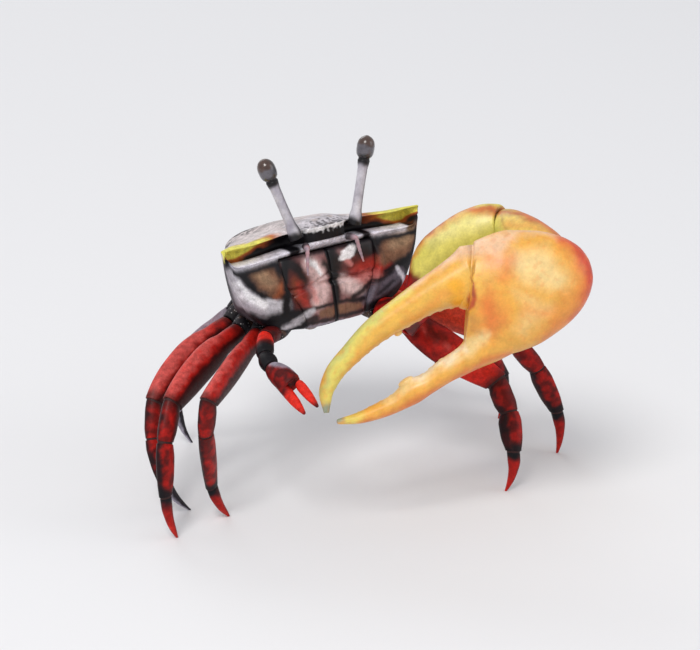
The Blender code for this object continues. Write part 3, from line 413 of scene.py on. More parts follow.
BLACK = tint(17, 15, 20)
CHARCOAL = tint(38, 34, 40)
SLATE = tint(92, 88, 96)
PALE = tint(186, 182, 190)
WHITE = tint(240, 238, 242)
BROWN = tint(122, 86, 66)
TAN = tint(152, 122, 96)
YELLOW = tint(224, 216, 92)
RUST = tint(142, 70, 40)
ROSE = tint(206, 128, 124)
PINK = tint(204, 172, 172)
RED = tint(162, 22, 16)
SCARLET = tint(216, 42, 30)
BRIGHT_RED = tint(228, 74, 48)
DARK_RED = tint(84, 14, 14)
LEG_DARK = tint(46, 12, 12)
# Pink of the painted highlight on the legs.
HIGHLIGHT_PINK = tint(216, 104, 98)
EYE_BROWN = tint(70, 48, 40)
ORANGE = tint(232, 126, 44)
GOLD = tint(234, 172, 72)
CREAM = tint(240, 208, 142)
LEMON = tint(224, 214, 104)
OLIVE = tint(168, 160, 62)
LILAC = tint(152, 146, 160)
BACK_WASH = tint(226, 214, 214)
RIDGE_PALE = tint(222, 218, 230)
MAROON = tint(84, 34, 32)
EMBER = tint(190, 104, 44)
DUSKY = tint(158, 116, 118)
BLUSH = tint(214, 188, 188)
STREAK = tint(176, 48, 38)
PLATE_GREY = tint(98, 90, 102)
FLAME = tint(222, 104, 44)
FIRE = tint(176, 48, 28)
CORAL = tint(206, 62, 36)
AMBER = tint(246, 178, 44)
HONEY = tint(236, 186, 80)
PEACH = tint(238, 196, 160)
PALE_SHELL = tint(250, 236, 206)
TIP_GREY = tint(146, 158, 132)
GREENISH = tint(190, 198, 120)
PALE_LEMON = tint(236, 226, 150)

# Marks of the large claw over its gold, laid like those of the front: colour, strength, softness
# and a path of (across, up, half width) in the plane of the claw.
CLAW_MARKS = (
    # Cream of the palm's middle, partly a painted highlight.
    (CREAM, 0.95, 3.5, ((6.0, 4.0, 1.6), (9.5, 3.4, 2.6), (12.0, 1.4, 1.8))),
    (CREAM, 0.55, 3.0, ((7.0, 0.5, 1.6), (9.5, -2.5, 2.2), (7.0, -5.6, 1.0))),
    (ORANGE, 0.45, 2.6, ((7.5, -3.0, 0.6), (11.5, -3.6, 1.2), (13.5, -1.0, 0.8))),
    (GOLD, 0.8, 2.0, ((5.4, 1.0, 0.4), (9.0, -0.6, 0.8), (12.5, -1.6, 0.6))),
    (PEACH, 0.9, 2.2, ((-4.4, 4.6, 0.5), (-1.0, 6.0, 1.2), (2.6, 6.6, 1.5), (5.4, 7.9, 0.7))),
    (PEACH, 0.7, 1.6, ((5.0, 8.6, 0.3), (9.0, 8.9, 0.5), (12.6, 7.8, 0.3))),
    (FLAME, 0.6, 3.0, ((1.8, 4.4, 0.5), (4.6, 4.2, 1.3), (4.0, 2.0, 0.6))),
    (FLAME, 0.35, 2.4, ((1.4, 0.6, 0.6), (2.0, -2.0, 1.2))),
    (FLAME, 0.75, 4.2, ((1.4, -2.2, 0.9), (2.4, -4.2, 1.8), (1.8, -6.4, 0.9))),
    (FLAME, 0.75, 3.4, ((12.0, 8.4, 0.3), (15.0, 6.2, 1.3), (16.8, 2.6, 1.8), (16.4, -1.4, 1.5),
                        (14.0, -4.6, 0.9), (10.5, -7.2, 0.5))),
    (CORAL, 0.95, 1.8, ((12.8, 8.2, 0.3), (15.4, 6.4, 0.8), (17.3, 3.4, 1.1), (17.8, 0.4, 1.0),
                        (16.8, -2.6, 0.6), (14.4, -4.9, 0.2))),
    (FIRE, 0.5, 1.2, ((13.0, -6.4, 0.2), (9.0, -8.8, 0.3), (4.0, -10.2, 0.2))),
    # Cream and pale along the top edge of the fixed finger: a painted highlight.
    (CREAM, 0.95, 1.8, ((0.8, -7.2, 0.9), (-3.0, -9.8, 0.9), (-6.6, -12.2, 0.9), (-10.0, -13.9, 0.9),
                        (-13.5, -16.6, 0.4))),
    (PALE_SHELL, 0.8, 1.2, ((-2.0, -9.0, 0.4), (-6.6, -12.0, 0.4), (-9.6, -13.4, 0.6))),
    (FLAME, 0.8, 1.7, ((5.0, -9.6, 0.3), (0.5, -11.2, 0.5), (-4.0, -14.2, 0.6), (-8.6, -16.9, 0.6),
                       (-13.0, -19.0, 0.5), (-17.0, -20.2, 0.4))),
    (FIRE, 0.8, 1.0, ((1.0, -12.0, 0.15), (-3.0, -14.4, 0.25), (-7.0, -16.6, 0.25), (-12.0, -19.2, 0.25),
                      (-17.0, -20.6, 0.2))),
    (LEMON, 0.8, 1.4, ((-17.0, -18.9, 0.4), (-19.5, -19.6, 0.8))),
    (TIP_GREY, 1.0, 1.0, ((-20.6, -19.8, 0.5), (-22.0, -20.0, 1.0))),
    (HONEY, 0.8, 3.0, ((-1.4, 1.6, 2.6), (-6.0, -0.8, 1.8), (-12.0, -4.4, 1.3), (-17.0, -8.4, 0.8))),
    (ORANGE, 0.45, 2.0, ((-3.0, 0.4, 0.6), (-6.0, -1.8, 0.6), (-10.5, -4.4, 0.5))),
    (AMBER, 0.95, 1.4, ((-3.4, 0.8, 0.8), (-2.6, -1.4, 1.2), (-1.5, -3.0, 0.9))),
    (CREAM, 0.9, 1.5, ((-3.8, -3.0, 0.5), (-7.6, -4.6, 0.7), (-12.0, -7.6, 0.7), (-15.6, -10.6, 0.5))),
    (PEACH, 0.85, 1.5, ((-4.0, 4.6, 0.6), (-7.6, 2.4, 0.5), (-12.0, -0.8, 0.3))),
    (LEMON, 0.85, 1.6, ((-9.6, 0.3, 0.3), (-14.0, -3.2, 0.6), (-18.0, -7.2, 0.9), (-20.6, -11.4, 1.2),
                        (-22.2, -16.0, 1.3))),
    (GREENISH, 0.7, 1.2, ((-13.6, -2.6, 0.2), (-18.0, -6.4, 0.4), (-21.6, -11.6, 0.4),
                          (-23.2, -15.4, 0.4))),
    (TIP_GREY, 1.0, 1.4, ((-22.5, -18.0, 1.1),)),
    (FIRE, 0.9, 0.7, ((-0.5, 1.2, 0.05), (-0.5, 0.0, 0.35), (-0.6, -1.5, 0.5), (-1.0, -2.8, 0.25))),
    (RUST, 0.8, 0.4, ((-0.3, 4.4, 0.04), (-0.5, 1.6, 0.10), (-0.7, -1.0, 0.15))),
    # Painted shade under the lobe at the root of the moving finger.
    (RUST, 0.45, 1.6, ((-1.0, -3.8, 0.4), (-0.4, -5.4, 0.4), (0.2, -6.6, 0.2))),
)
# Marks of its arm, laid in the same plane.
ARM_MARKS = (
    (PALE_LEMON, 0.8, 3.0, ((-5.6, 8.0, 1.2), (-2.0, 9.8, 1.2), (2.0, 10.4, 0.9))),
    # Olive marks: painted shade where the claw lies against the arm.
    (OLIVE, 0.6, 2.6, ((-8.0, 0.8, 0.5), (-4.6, 3.6, 0.8), (-1.0, 6.6, 0.7), (4.4, 8.8, 0.6))),
    (OLIVE, 0.35, 2.0, ((-7.0, 5.0, 0.6), (-5.6, 6.8, 0.6))),
    (FLAME, 0.6, 2.4, ((5.6, 9.8, 0.7), (8.6, 9.4, 0.8), (11.6, 8.4, 0.7))),
    (FLAME, 0.5, 1.6, ((0.4, 11.6, 0.4), (4.4, 11.4, 0.5))),
    (FIRE, 0.8, 1.2, ((0.4, 12.0, 0.3), (3.4, 12.1, 0.6), (7.0, 11.4, 0.6), (10.5, 10.0, 0.5),
                      (13.5, 8.0, 0.5))),
    (RUST, 0.45, 0.5, ((4.4, 11.6, 0.08), (4.8, 10.4, 0.12), (5.2, 9.2, 0.05))),
)

# Ways to the reddened edge of each arm article.
ARM_RIM = {"merus": np.array((-0.467, 0.555, 0.685)), "carpus": np.array((0.40, 0.10, 0.90))}
# Ways of the legs' painted light, a rosy highlight toward it and painted shade away from it, and in which
# their shins are black.
PAINTED_LIGHT_WAY = np.array((-0.60, -0.05, 0.80))
OUTER_WAY = np.array((-0.84, 0.52, 0.14))
# How far up the painted shade on the underside reaches on each thigh that shows it.
PAINTED_SHADE_REACH = {("right", 1): 0.3, ("right", 2): 0.5, ("right", 3): 0.72}

# The painting's mouth sits this far to the crab's left of its midline, and the drift ends at the reach.
MIDLINE_DRIFT = 1.8
DRIFT_REACH = 8.5
# Beads along the ridge under the eyes: one each this many millimetres.
RIDGE_BEAD = 0.62
# Stretches of that ridge that are pale, from its right to its left.
RIDGE_PARTS = ((-17.3, -6.7), (-4.8, 7.0), (8.4, 15.6))
# Swollen lobes beside the mouth: places (left, up) with half widths.
FACE_LOBES = (((-13.2, -7.0, 0.9), (-11.2, -8.2, 1.3)), ((10.4, -7.8, 0.8), (14.8, -6.8, 1.1)))
# Marks of the front, laid over one another: colour, strength, softness of the edge, and a path
# of (left, up, half width).
FACE_MARKS = (
    (SLATE, 0.8, 1.4, ((-16.5, -9.0, 1.2), (-12.0, -12.5, 1.5), (-9.0, -12.8, 1.0))),
    (BLACK, 1.0, 0.9, ((-17.6, -12.8, 0.8), (-13.1, -13.9, 0.9), (-9.1, -14.6, 1.0), (-4.6, -14.6, 0.6))),
    (PALE, 0.95, 1.3, ((-17.9, -5.9, 0.6), (-17.3, -7.8, 1.1), (-15.6, -10.4, 1.6), (-12.4, -12.1, 1.5),
                       # Painted highlight on the pale rim.
                       (-9.4, -12.3, 0.8))),
    (WHITE, 0.9, 0.8, ((-16.6, -7.8, 0.3), (-15.2, -10.2, 0.6), (-13.0, -11.8, 0.5))),
    (BLACK, 1.0, 0.8, ((-16.0, -5.5, 0.5), (-15.1, -8.0, 0.55), (-13.0, -10.3, 0.5), (-9.4, -11.0, 0.5))),
    # Painted shadow under the ridge below the eyes.
    (BLACK, 1.0, 0.7, ((-15.6, -5.5, 0.55), (-12.0, -5.1, 0.5), (-8.9, -5.5, 0.5))),
    (BROWN, 1.0, 1.3, ((-13.2, -7.1, 1.1), (-11.7, -7.9, 2.1), (-10.8, -9.0, 1.8))),
    (TAN, 0.8, 1.8, ((-13.2, -7.2, 0.5), (-12.2, -7.6, 1.1), (-11.6, -8.4, 0.8))),
    (BLACK, 0.8, 1.2, ((-9.3, -7.0, 0.3), (-9.6, -8.6, 0.5))),
    (RUST, 0.8, 1.4, ((-9.5, -9.0, 0.3), (-9.7, -10.2, 0.7), (-10.8, -10.8, 0.4))),
    (MAROON, 1.0, 1.6, ((-6.4, -7.4, 1.6), (-6.2, -9.8, 2.3), (-6.0, -12.2, 2.0))),
    (RUST, 0.45, 1.5, ((-6.4, -9.4, 0.8), (-6.2, -11.6, 0.7))),
    (BLACK, 0.95, 1.4, ((-7.0, -6.2, 1.2), (-5.2, -7.6, 1.0), (-4.4, -9.4, 0.5))),
    (STREAK, 0.6, 1.6, ((-5.8, -9.8, 0.5), (-5.4, -11.4, 0.9), (-4.8, -13.0, 0.8), (-4.0, -13.8, 0.4))),
    (PINK, 1.0, 1.6, ((-2.8, -6.8, 1.3), (-1.2, -8.8, 1.9), (-0.9, -11.4, 1.9), (-2.2, -13.2, 1.3))),
    (ROSE, 0.6, 1.0, ((-3.0, -10.2, 0.4), (-2.6, -12.6, 0.6))),
    # Painted highlight on the mouth plate.
    (WHITE, 0.9, 0.7, ((-3.2, -6.3, 0.4), (-1.6, -7.2, 0.6), (-0.6, -8.8, 0.4))),
    # Painted shade in the crease along the outer edge of the right mouth plate.
    (BLACK, 1.0, 0.8, ((-7.7, -5.6, 0.8), (-8.3, -8.2, 0.65), (-8.8, -10.3, 0.7), (-9.5, -13.6, 0.8))),
    (BLACK, 0.95, 1.2, ((0.4, -7.4, 0.5), (1.6, -8.2, 1.0), (2.4, -9.8, 0.8))),
    (ROSE, 0.75, 1.6, ((4.6, -11.4, 1.0), (6.6, -11.6, 1.4), (8.6, -11.4, 0.9))),
    (BLUSH, 0.95, 1.4, ((3.3, -10.6, 0.7), (4.2, -11.8, 1.2), (5.6, -12.8, 0.9))),
    (MAROON, 1.0, 1.4, ((4.4, -8.8, 0.8), (6.6, -7.8, 1.3), (9.2, -7.8, 1.3))),
    (BLACK, 0.9, 1.3, ((5.8, -6.2, 1.0), (8.0, -6.8, 1.0), (9.6, -7.4, 0.5))),
    (STREAK, 0.85, 1.7, ((5.2, -9.6, 0.6), (7.2, -9.3, 1.2), (9.2, -9.7, 1.3), (10.4, -9.8, 0.5))),
    (ROSE, 0.5, 1.0, ((6.2, -10.0, 0.3), (7.8, -10.2, 0.5))),
    # Painted shadow under the ridge below the eyes.
    (BLACK, 0.9, 0.9, ((-7.8, -5.3, 0.5), (-3.0, -5.3, 0.4), (2.0, -5.2, 0.5), (8.6, -5.0, 0.6))),
    (BLACK, 0.95, 1.0, ((2.4, -5.8, 0.9), (2.9, -8.4, 0.7))),
    # Painted shadow under the ridge below the eyes.
    (BLACK, 0.9, 1.2, ((5.6, -5.6, 0.9), (9.2, -5.8, 1.2), (12.0, -4.9, 0.5))),
    # Painted highlight on the mouth plate.
    (WHITE, 1.0, 0.4, ((3.5, -7.2, 0.4), (4.5, -6.7, 0.95), (5.1, -6.1, 0.7))),
    (ROSE, 0.9, 0.5, ((4.3, -7.7, 0.3), (4.7, -8.3, 0.35))),
    # Painted shade in the crease between the two mouth plates.
    (BLACK, 1.0, 0.8, ((1.9, -5.6, 0.5), (2.2, -8.0, 0.45), (2.2, -10.2, 0.6), (2.0, -14.4, 0.45))),
    (BROWN, 1.0, 1.2, ((9.6, -8.8, 0.9), (11.4, -7.6, 1.8), (14.2, -6.4, 2.1), (16.6, -5.0, 1.2))),
    (TAN, 0.9, 1.6, ((11.8, -7.0, 0.6), (13.8, -6.1, 1.3), (16.0, -5.0, 0.8))),
    (BLACK, 1.0, 0.8, ((9.4, -10.6, 0.4), (12.6, -9.9, 0.45), (15.6, -8.6, 0.5), (16.9, -5.6, 0.4))),
    (PLATE_GREY, 1.0, 0.9, ((5.8, -14.4, 0.9), (9.0, -12.9, 1.5), (12.4, -11.4, 1.0))),
    (BLACK, 0.95, 0.7, ((4.4, -13.6, 0.4), (7.4, -11.9, 0.4), (10.6, -10.9, 0.35))),
    (BLACK, 0.8, 0.6, ((8.0, -13.9, 0.25), (11.0, -12.3, 0.3))),
    (RIDGE_PALE, 0.95, 0.5, ((11.8, -10.5, 0.4), (14.0, -13.6, 0.4))),
    (BROWN, 0.95, 0.8, ((-1.8, -15.2, 0.6), (1.5, -15.1, 0.95), (5.0, -15.1, 0.7))),
    (BLACK, 0.9, 0.9, ((-5.2, -15.9, 0.9), (-3.2, -15.6, 0.7))),
    (BLACK, 0.95, 0.6, ((-8.4, -14.4, 0.8), (-4.0, -14.1, 0.4), (2.0, -13.8, 0.3), (6.0, -14.2, 0.4))),
    (PALE, 0.95, 0.7, ((-9.8, -16.2, 0.4), (-6.5, -15.3, 0.7), (-3.4, -14.3, 0.4))),
    (BLACK, 0.9, 0.6, ((-10.4, -17.0, 0.3), (-2.0, -16.3, 0.35), (8.0, -16.0, 0.4), (13.6, -13.9, 0.4))),
    (LILAC, 0.9, 0.35, ((-10.0, -17.3, 0.16), (-1.2, -16.8, 0.2), (4.4, -17.1, 0.2), (8.3, -16.3, 0.22),
                        (13.9, -14.7, 0.22))),
)


def over(under, colour, mask):
    """One colour laid over others by a mask."""
    mask = np.asarray(mask, float)[..., None]
    return under * (1 - mask) + np.asarray(colour) * mask


def layers(under, *marks):
    """Colours laid over one another in turn, each given as (colour, mask)."""
    for colour, mask in marks:
        under = over(under, colour, mask)
    return under


def plain(points, colour):
    return np.tile(colour, (len(points), 1))


def patches(points, size, seed, low, high):
    """Mask of soft-edged patches of noise."""
    return ramp(rough(points, size, seed), low, high)


def stroke(u, v, path, soft=0.6):
    """Mask of a brush stroke along a path of (u, v, half width) points."""
    path = np.array(path, float)
    best = np.full(np.shape(u), -1e9)
    if len(path) == 1:
        return fall(np.hypot(u - path[0, 0], v - path[0, 1]) - path[0, 2], -soft / 2, soft / 2)
    for (u0, v0, h0), (u1, v1, h1) in zip(path, path[1:]):
        du, dv = u1 - u0, v1 - v0
        t = np.clip(((u - u0) * du + (v - v0) * dv) / (du * du + dv * dv), 0, 1)
        inside = h0 + (h1 - h0) * t - np.hypot(u - u0 - du * t, v - v0 - dv * t)
        best = np.maximum(best, inside)
    return ramp(best, -soft / 2, soft / 2)


def stroked(colours, marks, u, v):
    """A table of brush strokes laid over colours."""
    for colour, strength, soft, path in marks:
        colours = over(colours, colour, strength * stroke(u, v, path, soft))
    return colours


def paint(piece, colours):
    """Keep a colour for each point of a mesh, which its material reads."""
    layer = piece.data.color_attributes.new("paint", "FLOAT_COLOR", "POINT")
    values = np.concatenate((np.clip(colours, 0, 1), np.ones((len(colours), 1))), axis=1)
    layer.data.foreach_set("color", values.astype(np.float32).ravel())


# Materials

SPECKLE_COLOUR = (0.75, 0.72, 0.72, 1)
SPECKLE_SIZE = 0.55
COAT_ROUGHNESS = 0.22


def node(tree, kind, **values):
    made = tree.nodes.new(kind)
    for name, value in values.items():
        setattr(made, name, value)
    return made


def shell_material(name, roughness=0.42, coat=0.25, mottle=0.25, mottle_size=0.9, grain=0.35,
                   grain_size=0.16, speckle=0.0, subsurface=0.0, colour=None, gloss=0.4):
    """Shell: the painted colour, mottled, with a fine grain in its surface."""
    made = bpy.data.materials.new(name)
    made.use_nodes = True
    tree = made.node_tree
    shader = tree.nodes["Principled BSDF"]
    place = node(tree, "ShaderNodeTexCoord")
    if colour is None:
        base = node(tree, "ShaderNodeAttribute", attribute_name="paint").outputs["Color"]
    else:
        base = node(tree, "ShaderNodeRGB").outputs[0]
        base.default_value = (*colour, 1)

    def noise_at(size, detail=4.0):
        texture = node(tree, "ShaderNodeTexNoise")
        texture.inputs["Scale"].default_value = 1 / (size * MM)
        texture.inputs["Detail"].default_value = detail
        tree.links.new(place.outputs["Object"], texture.inputs["Vector"])
        return texture.outputs["Fac"]

    def spread(value, from_low, from_high, low, high):
        change = node(tree, "ShaderNodeMapRange")
        ends = {"From Min": from_low, "From Max": from_high, "To Min": low, "To Max": high}
        for socket_name, end in ends.items():
            change.inputs[socket_name].default_value = end
        tree.links.new(value, change.inputs["Value"])
        return change.outputs["Result"]

    def times(colour_socket, factor_socket):
        mix = node(tree, "ShaderNodeVectorMath", operation="SCALE")
        tree.links.new(colour_socket, mix.inputs[0])
        tree.links.new(factor_socket, mix.inputs["Scale"])
        return mix.outputs["Vector"]

    shade = times(base, spread(noise_at(mottle_size), 0.3, 0.7, 1 - mottle, 1 + mottle * 0.8))
    fine = noise_at(grain_size * 1.6, 2.0)
    shade = times(shade, spread(fine, 0.3, 0.7, 1 - mottle * 0.5, 1 + mottle * 0.45))
    if speckle:
        spots = node(tree, "ShaderNodeTexVoronoi")
        spots.inputs["Scale"].default_value = 1 / (SPECKLE_SIZE * MM)
        tree.links.new(place.outputs["Object"], spots.inputs["Vector"])
        mix = node(tree, "ShaderNodeMix", data_type="RGBA")
        mix.inputs["B"].default_value = SPECKLE_COLOUR
        tree.links.new(spread(spots.outputs["Distance"], 0.10, 0.22, speckle, 0.0), mix.inputs["Factor"])
        tree.links.new(shade, mix.inputs["A"])
        shade = mix.outputs["Result"]
    tree.links.new(shade, shader.inputs["Base Color"])
    uneven = spread(noise_at(mottle_size * 0.5), 0.3, 0.7, roughness - 0.07, roughness + 0.12)
    tree.links.new(uneven, shader.inputs["Roughness"])
    shader.inputs["Coat Weight"].default_value = coat
    shader.inputs["Coat Roughness"].default_value = COAT_ROUGHNESS
    shader.inputs["Specular IOR Level"].default_value = gloss
    if subsurface:
        shader.inputs["Subsurface Weight"].default_value = subsurface
        shader.inputs["Subsurface Radius"].default_value = (1.0, 0.45, 0.2)
        shader.inputs["Subsurface Scale"].default_value = 0.8 * MM
    bump = node(tree, "ShaderNodeBump")
    bump.inputs["Strength"].default_value = grain
    bump.inputs["Distance"].default_value = grain_size * 0.5 * MM
    tree.links.new(noise_at(grain_size, 3.0), bump.inputs["Height"])
    tree.links.new(bump.outputs["Normal"], shader.inputs["Normal"])
    return made


BODY_SHELL = shell_material("body_shell", roughness=0.48, coat=0.04, gloss=0.18, mottle=0.30,
                            mottle_size=1.1, grain=0.45)
UNDER_SHELL = shell_material("under_shell", roughness=0.55, coat=0.0, gloss=0.25, mottle=0.35, speckle=0.55)
MOUTH_SHELL = shell_material("mouth_shell", roughness=0.42, coat=0.1, gloss=0.3, mottle=0.22, grain=0.3)
LEG_SHELL = shell_material("leg_shell", roughness=0.45, coat=0.04, gloss=0.15, mottle=0.30,
                           mottle_size=0.8, grain=0.4)
CLAW_SHELL = shell_material("claw_shell", roughness=0.38, coat=0.25, mottle=0.10, mottle_size=1.5,
                            grain=0.4, grain_size=0.22, subsurface=0.12)
ARM_SHELL = shell_material("arm_shell", roughness=0.42, coat=0.2, mottle=0.14, mottle_size=1.3, grain=0.4,
                           grain_size=0.2)
STALK_SKIN = shell_material("stalk_skin", roughness=0.40, coat=0.12, gloss=0.3, mottle=0.14,
                            mottle_size=0.8, grain=0.2)
EYE_GLOSS = shell_material("eye_gloss", roughness=0.16, coat=0.8, mottle=0.20, mottle_size=0.5, grain=0.25,
                           grain_size=0.08)
SOFT_SKIN = shell_material("soft_skin", roughness=0.6, coat=0.0, mottle=0.2, mottle_size=0.4, grain=0.5,
                           grain_size=0.1, colour=tint(52, 18, 18))


def finish(piece, material, slot, *nodes):
    """Give a piece its material and let it stand for nodes of the solid model."""
    piece.data.materials.append(material)
    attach(piece, "root")
    if nodes:
        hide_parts(*nodes)
    return piece


def painted(name, points, faces, colours, material, slot, *nodes):
    """A new piece with its own colours."""
    piece = mesh_object(name, points, faces)
    paint(piece, colours)
    return finish(piece, material, slot, *nodes)


# Camera, floor and light

# Each lamp: name, place and size in metres, power and colour.
LAMPS = (
    ("key", (-0.45, -0.35, 0.75), 0.35, 4.2, (1.0, 0.98, 0.95)),
    ("fill", (0.65, -0.6, 0.4), 0.6, 1.2, (0.95, 0.97, 1.0)),
    ("back", (0.1, 0.8, 0.6), 0.6, 1.5, (1.0, 1.0, 1.0)),
)
LAMPS_AIM = Vector((0, 0, 0.03))
FLOOR_SIZE = 6.0
FLOOR_COLOUR = (0.80, 0.80, 0.82, 1)
SKY_COLOUR = (0.97, 0.98, 1.0, 1)
SKY_STRENGTH = 0.62


def placed(name, data, place, way):
    """A camera or lamp at a place in metres, looking along a way."""
    made = bpy.data.objects.new(name, data)
    made.location = place
    made.rotation_mode = "QUATERNION"
    made.rotation_quaternion = Vector(way).to_track_quat("-Z", "Y")
    bpy.context.scene.collection.objects.link(made)
    return made


def build_camera():
    back = np.array((sin(VIEW_AZIMUTH) * cos(VIEW_ELEVATION), -cos(VIEW_AZIMUTH) * cos(VIEW_ELEVATION),
                     sin(VIEW_ELEVATION)))
    right = unit(np.cross(Z, back))
    up = np.cross(back, right)
    focal = PIXELS_PER_MM * VIEW_DISTANCE
    aim = (-back + right * (PICTURE_SIZE[0] / 2 - TARGET_PIXEL[0]) / focal
           - up * (PICTURE_SIZE[1] / 2 - TARGET_PIXEL[1]) / focal)
    lens = bpy.data.cameras.new("camera")
    lens.sensor_width = SENSOR_WIDTH
    lens.lens = SENSOR_WIDTH * focal / PICTURE_SIZE[0]
    lens.clip_start, lens.clip_end = 0.01, 50
    place = (VIEW_TARGET + back * VIEW_DISTANCE + STANCE_SHIFT) * MM
    bpy.context.scene.camera = placed("camera", lens, place, aim)


def build_stage():
    bpy.ops.mesh.primitive_plane_add(size=FLOOR_SIZE)
    floor = bpy.context.object
    floor.name = "floor"
    ground = bpy.data.materials.new("floor")
    ground.use_nodes = True
    surface = ground.node_tree.nodes["Principled BSDF"]
    surface.inputs["Base Color"].default_value = FLOOR_COLOUR
    surface.inputs["Roughness"].default_value = 0.9
    surface.inputs["Specular IOR Level"].default_value = 0.1
    floor.data.materials.append(ground)

    world = bpy.data.worlds.new("studio")
    bpy.context.scene.world = world
    world.use_nodes = True
    sky = world.node_tree.nodes["Background"]
    sky.inputs["Color"].default_value = SKY_COLOUR
    sky.inputs["Strength"].default_value = SKY_STRENGTH
    for name, place, size, power, colour in LAMPS:
        light = bpy.data.lights.new(name, "AREA")
        light.shape = "DISK"
        light.size = size
        light.energy = power
        light.color = colour
        placed(name, light, place, LAMPS_AIM - Vector(place))
    bpy.context.scene.view_settings.view_transform = "Standard"


build_camera()
build_stage()


# Body shell

# Zones round the body, counted in points of its outline: the orbit, the face, the side and the top.
ORBIT_END, FACE_END, TOP_START = 3.0, 8.8, 13.85
BODY_PER_SPAN = 13


def body_loops(off):
    """Outlines of the body in lengthwise planes, off these far from the midline: (forward, up)."""
    front = curve(off, FRONT_MARGIN)
    back = curve(off, BACK_MARGIN)
    low = curve(off, LOWER_MARGIN)
    crest = curve(off, CREST)
    lip = crest - curve(off, FRONT_DROP)
    orbit = ramp(off, 3.4, ORBIT_INNER) * fall(off, ORBIT_OUTER - 0.4, HALF_WIDTH - 0.1)
    small = fall(off, 16.4, HALF_WIDTH)
    ridge = lip - ORBIT_HEIGHT * (0.45 + 0.55 * small)
    face = FACE_LINE - 0.4 * (1 - small)
    chin = face - 0.25 - 1.05 * small
    inset = 0.1 + 0.25 * small
    bulge = curve(off, FACE_BULGE)
    groove = ORBIT_DEPTH * orbit
    depth = chin - back
    wall = back + 0.06 * depth
    rise = np.minimum(0.30 * (crest - low), 0.19 * depth)
    tail = crest - curve(off, BACK_DROP)
    sag = BACK_SAG * (front - back)
    points = (
        (front, lip),
        (front - 0.25 - groove, lip - 0.25 * (lip - ridge)),
        (front - 0.45 - groove, lip - 0.75 * (lip - ridge)),
        (front + (face - front) * (0.55 + 0.45 * orbit) - 0.05, ridge),
        (face - inset, ridge + (low - ridge) * 0.10),
        (face + bulge, ridge + (low - ridge) * 0.42),
        (face + 0.75 * bulge, ridge + (low - ridge) * 0.75),
        (face - inset + 0.08, low + 0.09 * (ridge - low)),
        (chin, low),
        (chin - 0.33 * depth, low + 0.25 * rise),
        (chin - 0.66 * depth, low + 0.62 * rise),
        (back + 0.13 * depth, low + 1.0 * rise),
        (wall, low + rise + 0.12 * (crest - low)),
        (back + 0.02 * depth, tail - 0.28 * (tail - low - rise)),
        (back, tail),
        (back + 0.07 * (front - back), tail + 0.45 * (crest - tail) - 0.9 * sag),
        (back + 0.22 * (front - back), tail + 0.86 * (crest - tail) - 1.1 * sag),
        (back + 0.45 * (front - back), crest - 0.9 * sag),
        (back + 0.70 * (front - back), crest + 0.04 * (lip - crest) - 0.35 * sag),
        (back + 0.88 * (front - back), crest + 0.38 * (lip - crest)),
        (back + 0.97 * (front - back), crest + 0.80 * (lip - crest)),
    )
    return np.stack([np.stack(p, -1) for p in points], 1)


def mouth_half_width(up):
    share = (up - MOUTH_LOW) / (MOUTH_TOP - MOUTH_LOW)
    return MOUTH_HALF_WIDTH_LOW + (MOUTH_HALF_WIDTH_TOP - MOUTH_HALF_WIDTH_LOW) * ramp(share, 0.0, 0.75)


def face_colours(left, up, points, base):
    """Marks of the front over a base colour: dark bands, pale rims, brown lobes and red streaks."""
    drift = MIDLINE_DRIFT * np.clip(1 - np.abs(left) / DRIFT_REACH, 0, 1)
    u = left + drift + 0.30 * rough(points, 1.6, 3.0) + 0.15 * rough(points, 0.55, 8.0)
    v = up + 0.03 * left + 0.26 * rough(points, 1.4, 7.0) + 0.13 * rough(points, 0.5, 4.0)
    return over(stroked(base, FACE_MARKS, u, v), BLACK, 0.2 * patches(points, 0.42, 21.0, 0.30, 0.55))


def top_colours(off, forward, points, wander, fine):
    """Pale wash, marbled to the rear, with a flame strip at each front corner and a pale front lobe."""
    ahead = ramp(forward + 0.8 * wander, -11.5, -9.5)
    margin = curve(off, FRONT_MARGIN) - forward
    front_strip = fall(margin + 0.6 * wander, 1.6, 3.2)
    side_strip = fall(HALF_WIDTH - off + 0.2 * (9 - forward) + 0.8 * wander, 4.8, 6.8)
    strips = np.maximum(front_strip, side_strip) * ramp(off + wander, 6.6, 8.8) * (forward > -6)
    yellow = np.maximum(front_strip * ramp(off + 0.8 * wander, 8.6, 11.5),
                        side_strip * ramp(forward + wander, -0.5, 2.0))
    behind = fall(forward + 1.2 * wander, -7.0, 1.5) * fall(off + wander, 9.0, 12.5)
    vein = np.abs(rough(points, 2.6, 17.0) + 0.35 * fine)
    lobe = fall(off + 0.5 * wander, 5.0, 6.6) * ramp(forward + 0.8 * wander, 4.0, 8.0)
    return layers(plain(points, BLACK), (CHARCOAL, 0.5 + 0.5 * wander),
                  (BACK_WASH, 0.85 * ahead),
                  (DUSKY, 0.2 * ahead * ramp(wander + 0.4 * fine, 0.2, 0.7)),
                  (EMBER, strips),
                  (YELLOW, yellow),
                  (CHARCOAL, 0.85 * behind * ramp(vein, 0.10, 0.30)),
                  (MAROON, 0.35 * ramp(1.5 - forward, 0, 5) * patches(points, 1.9, 27.0, 0.2, 0.6)),
                  (PALE, 0.8 * lobe),
                  (TAN, 0.45 * lobe * patches(points, 1.6, 9.0, 0.05, 0.5)),
                  (CHARCOAL, 0.75 * lobe * ramp(fine + 0.25 * (forward - 8), 0.35, 0.7)))


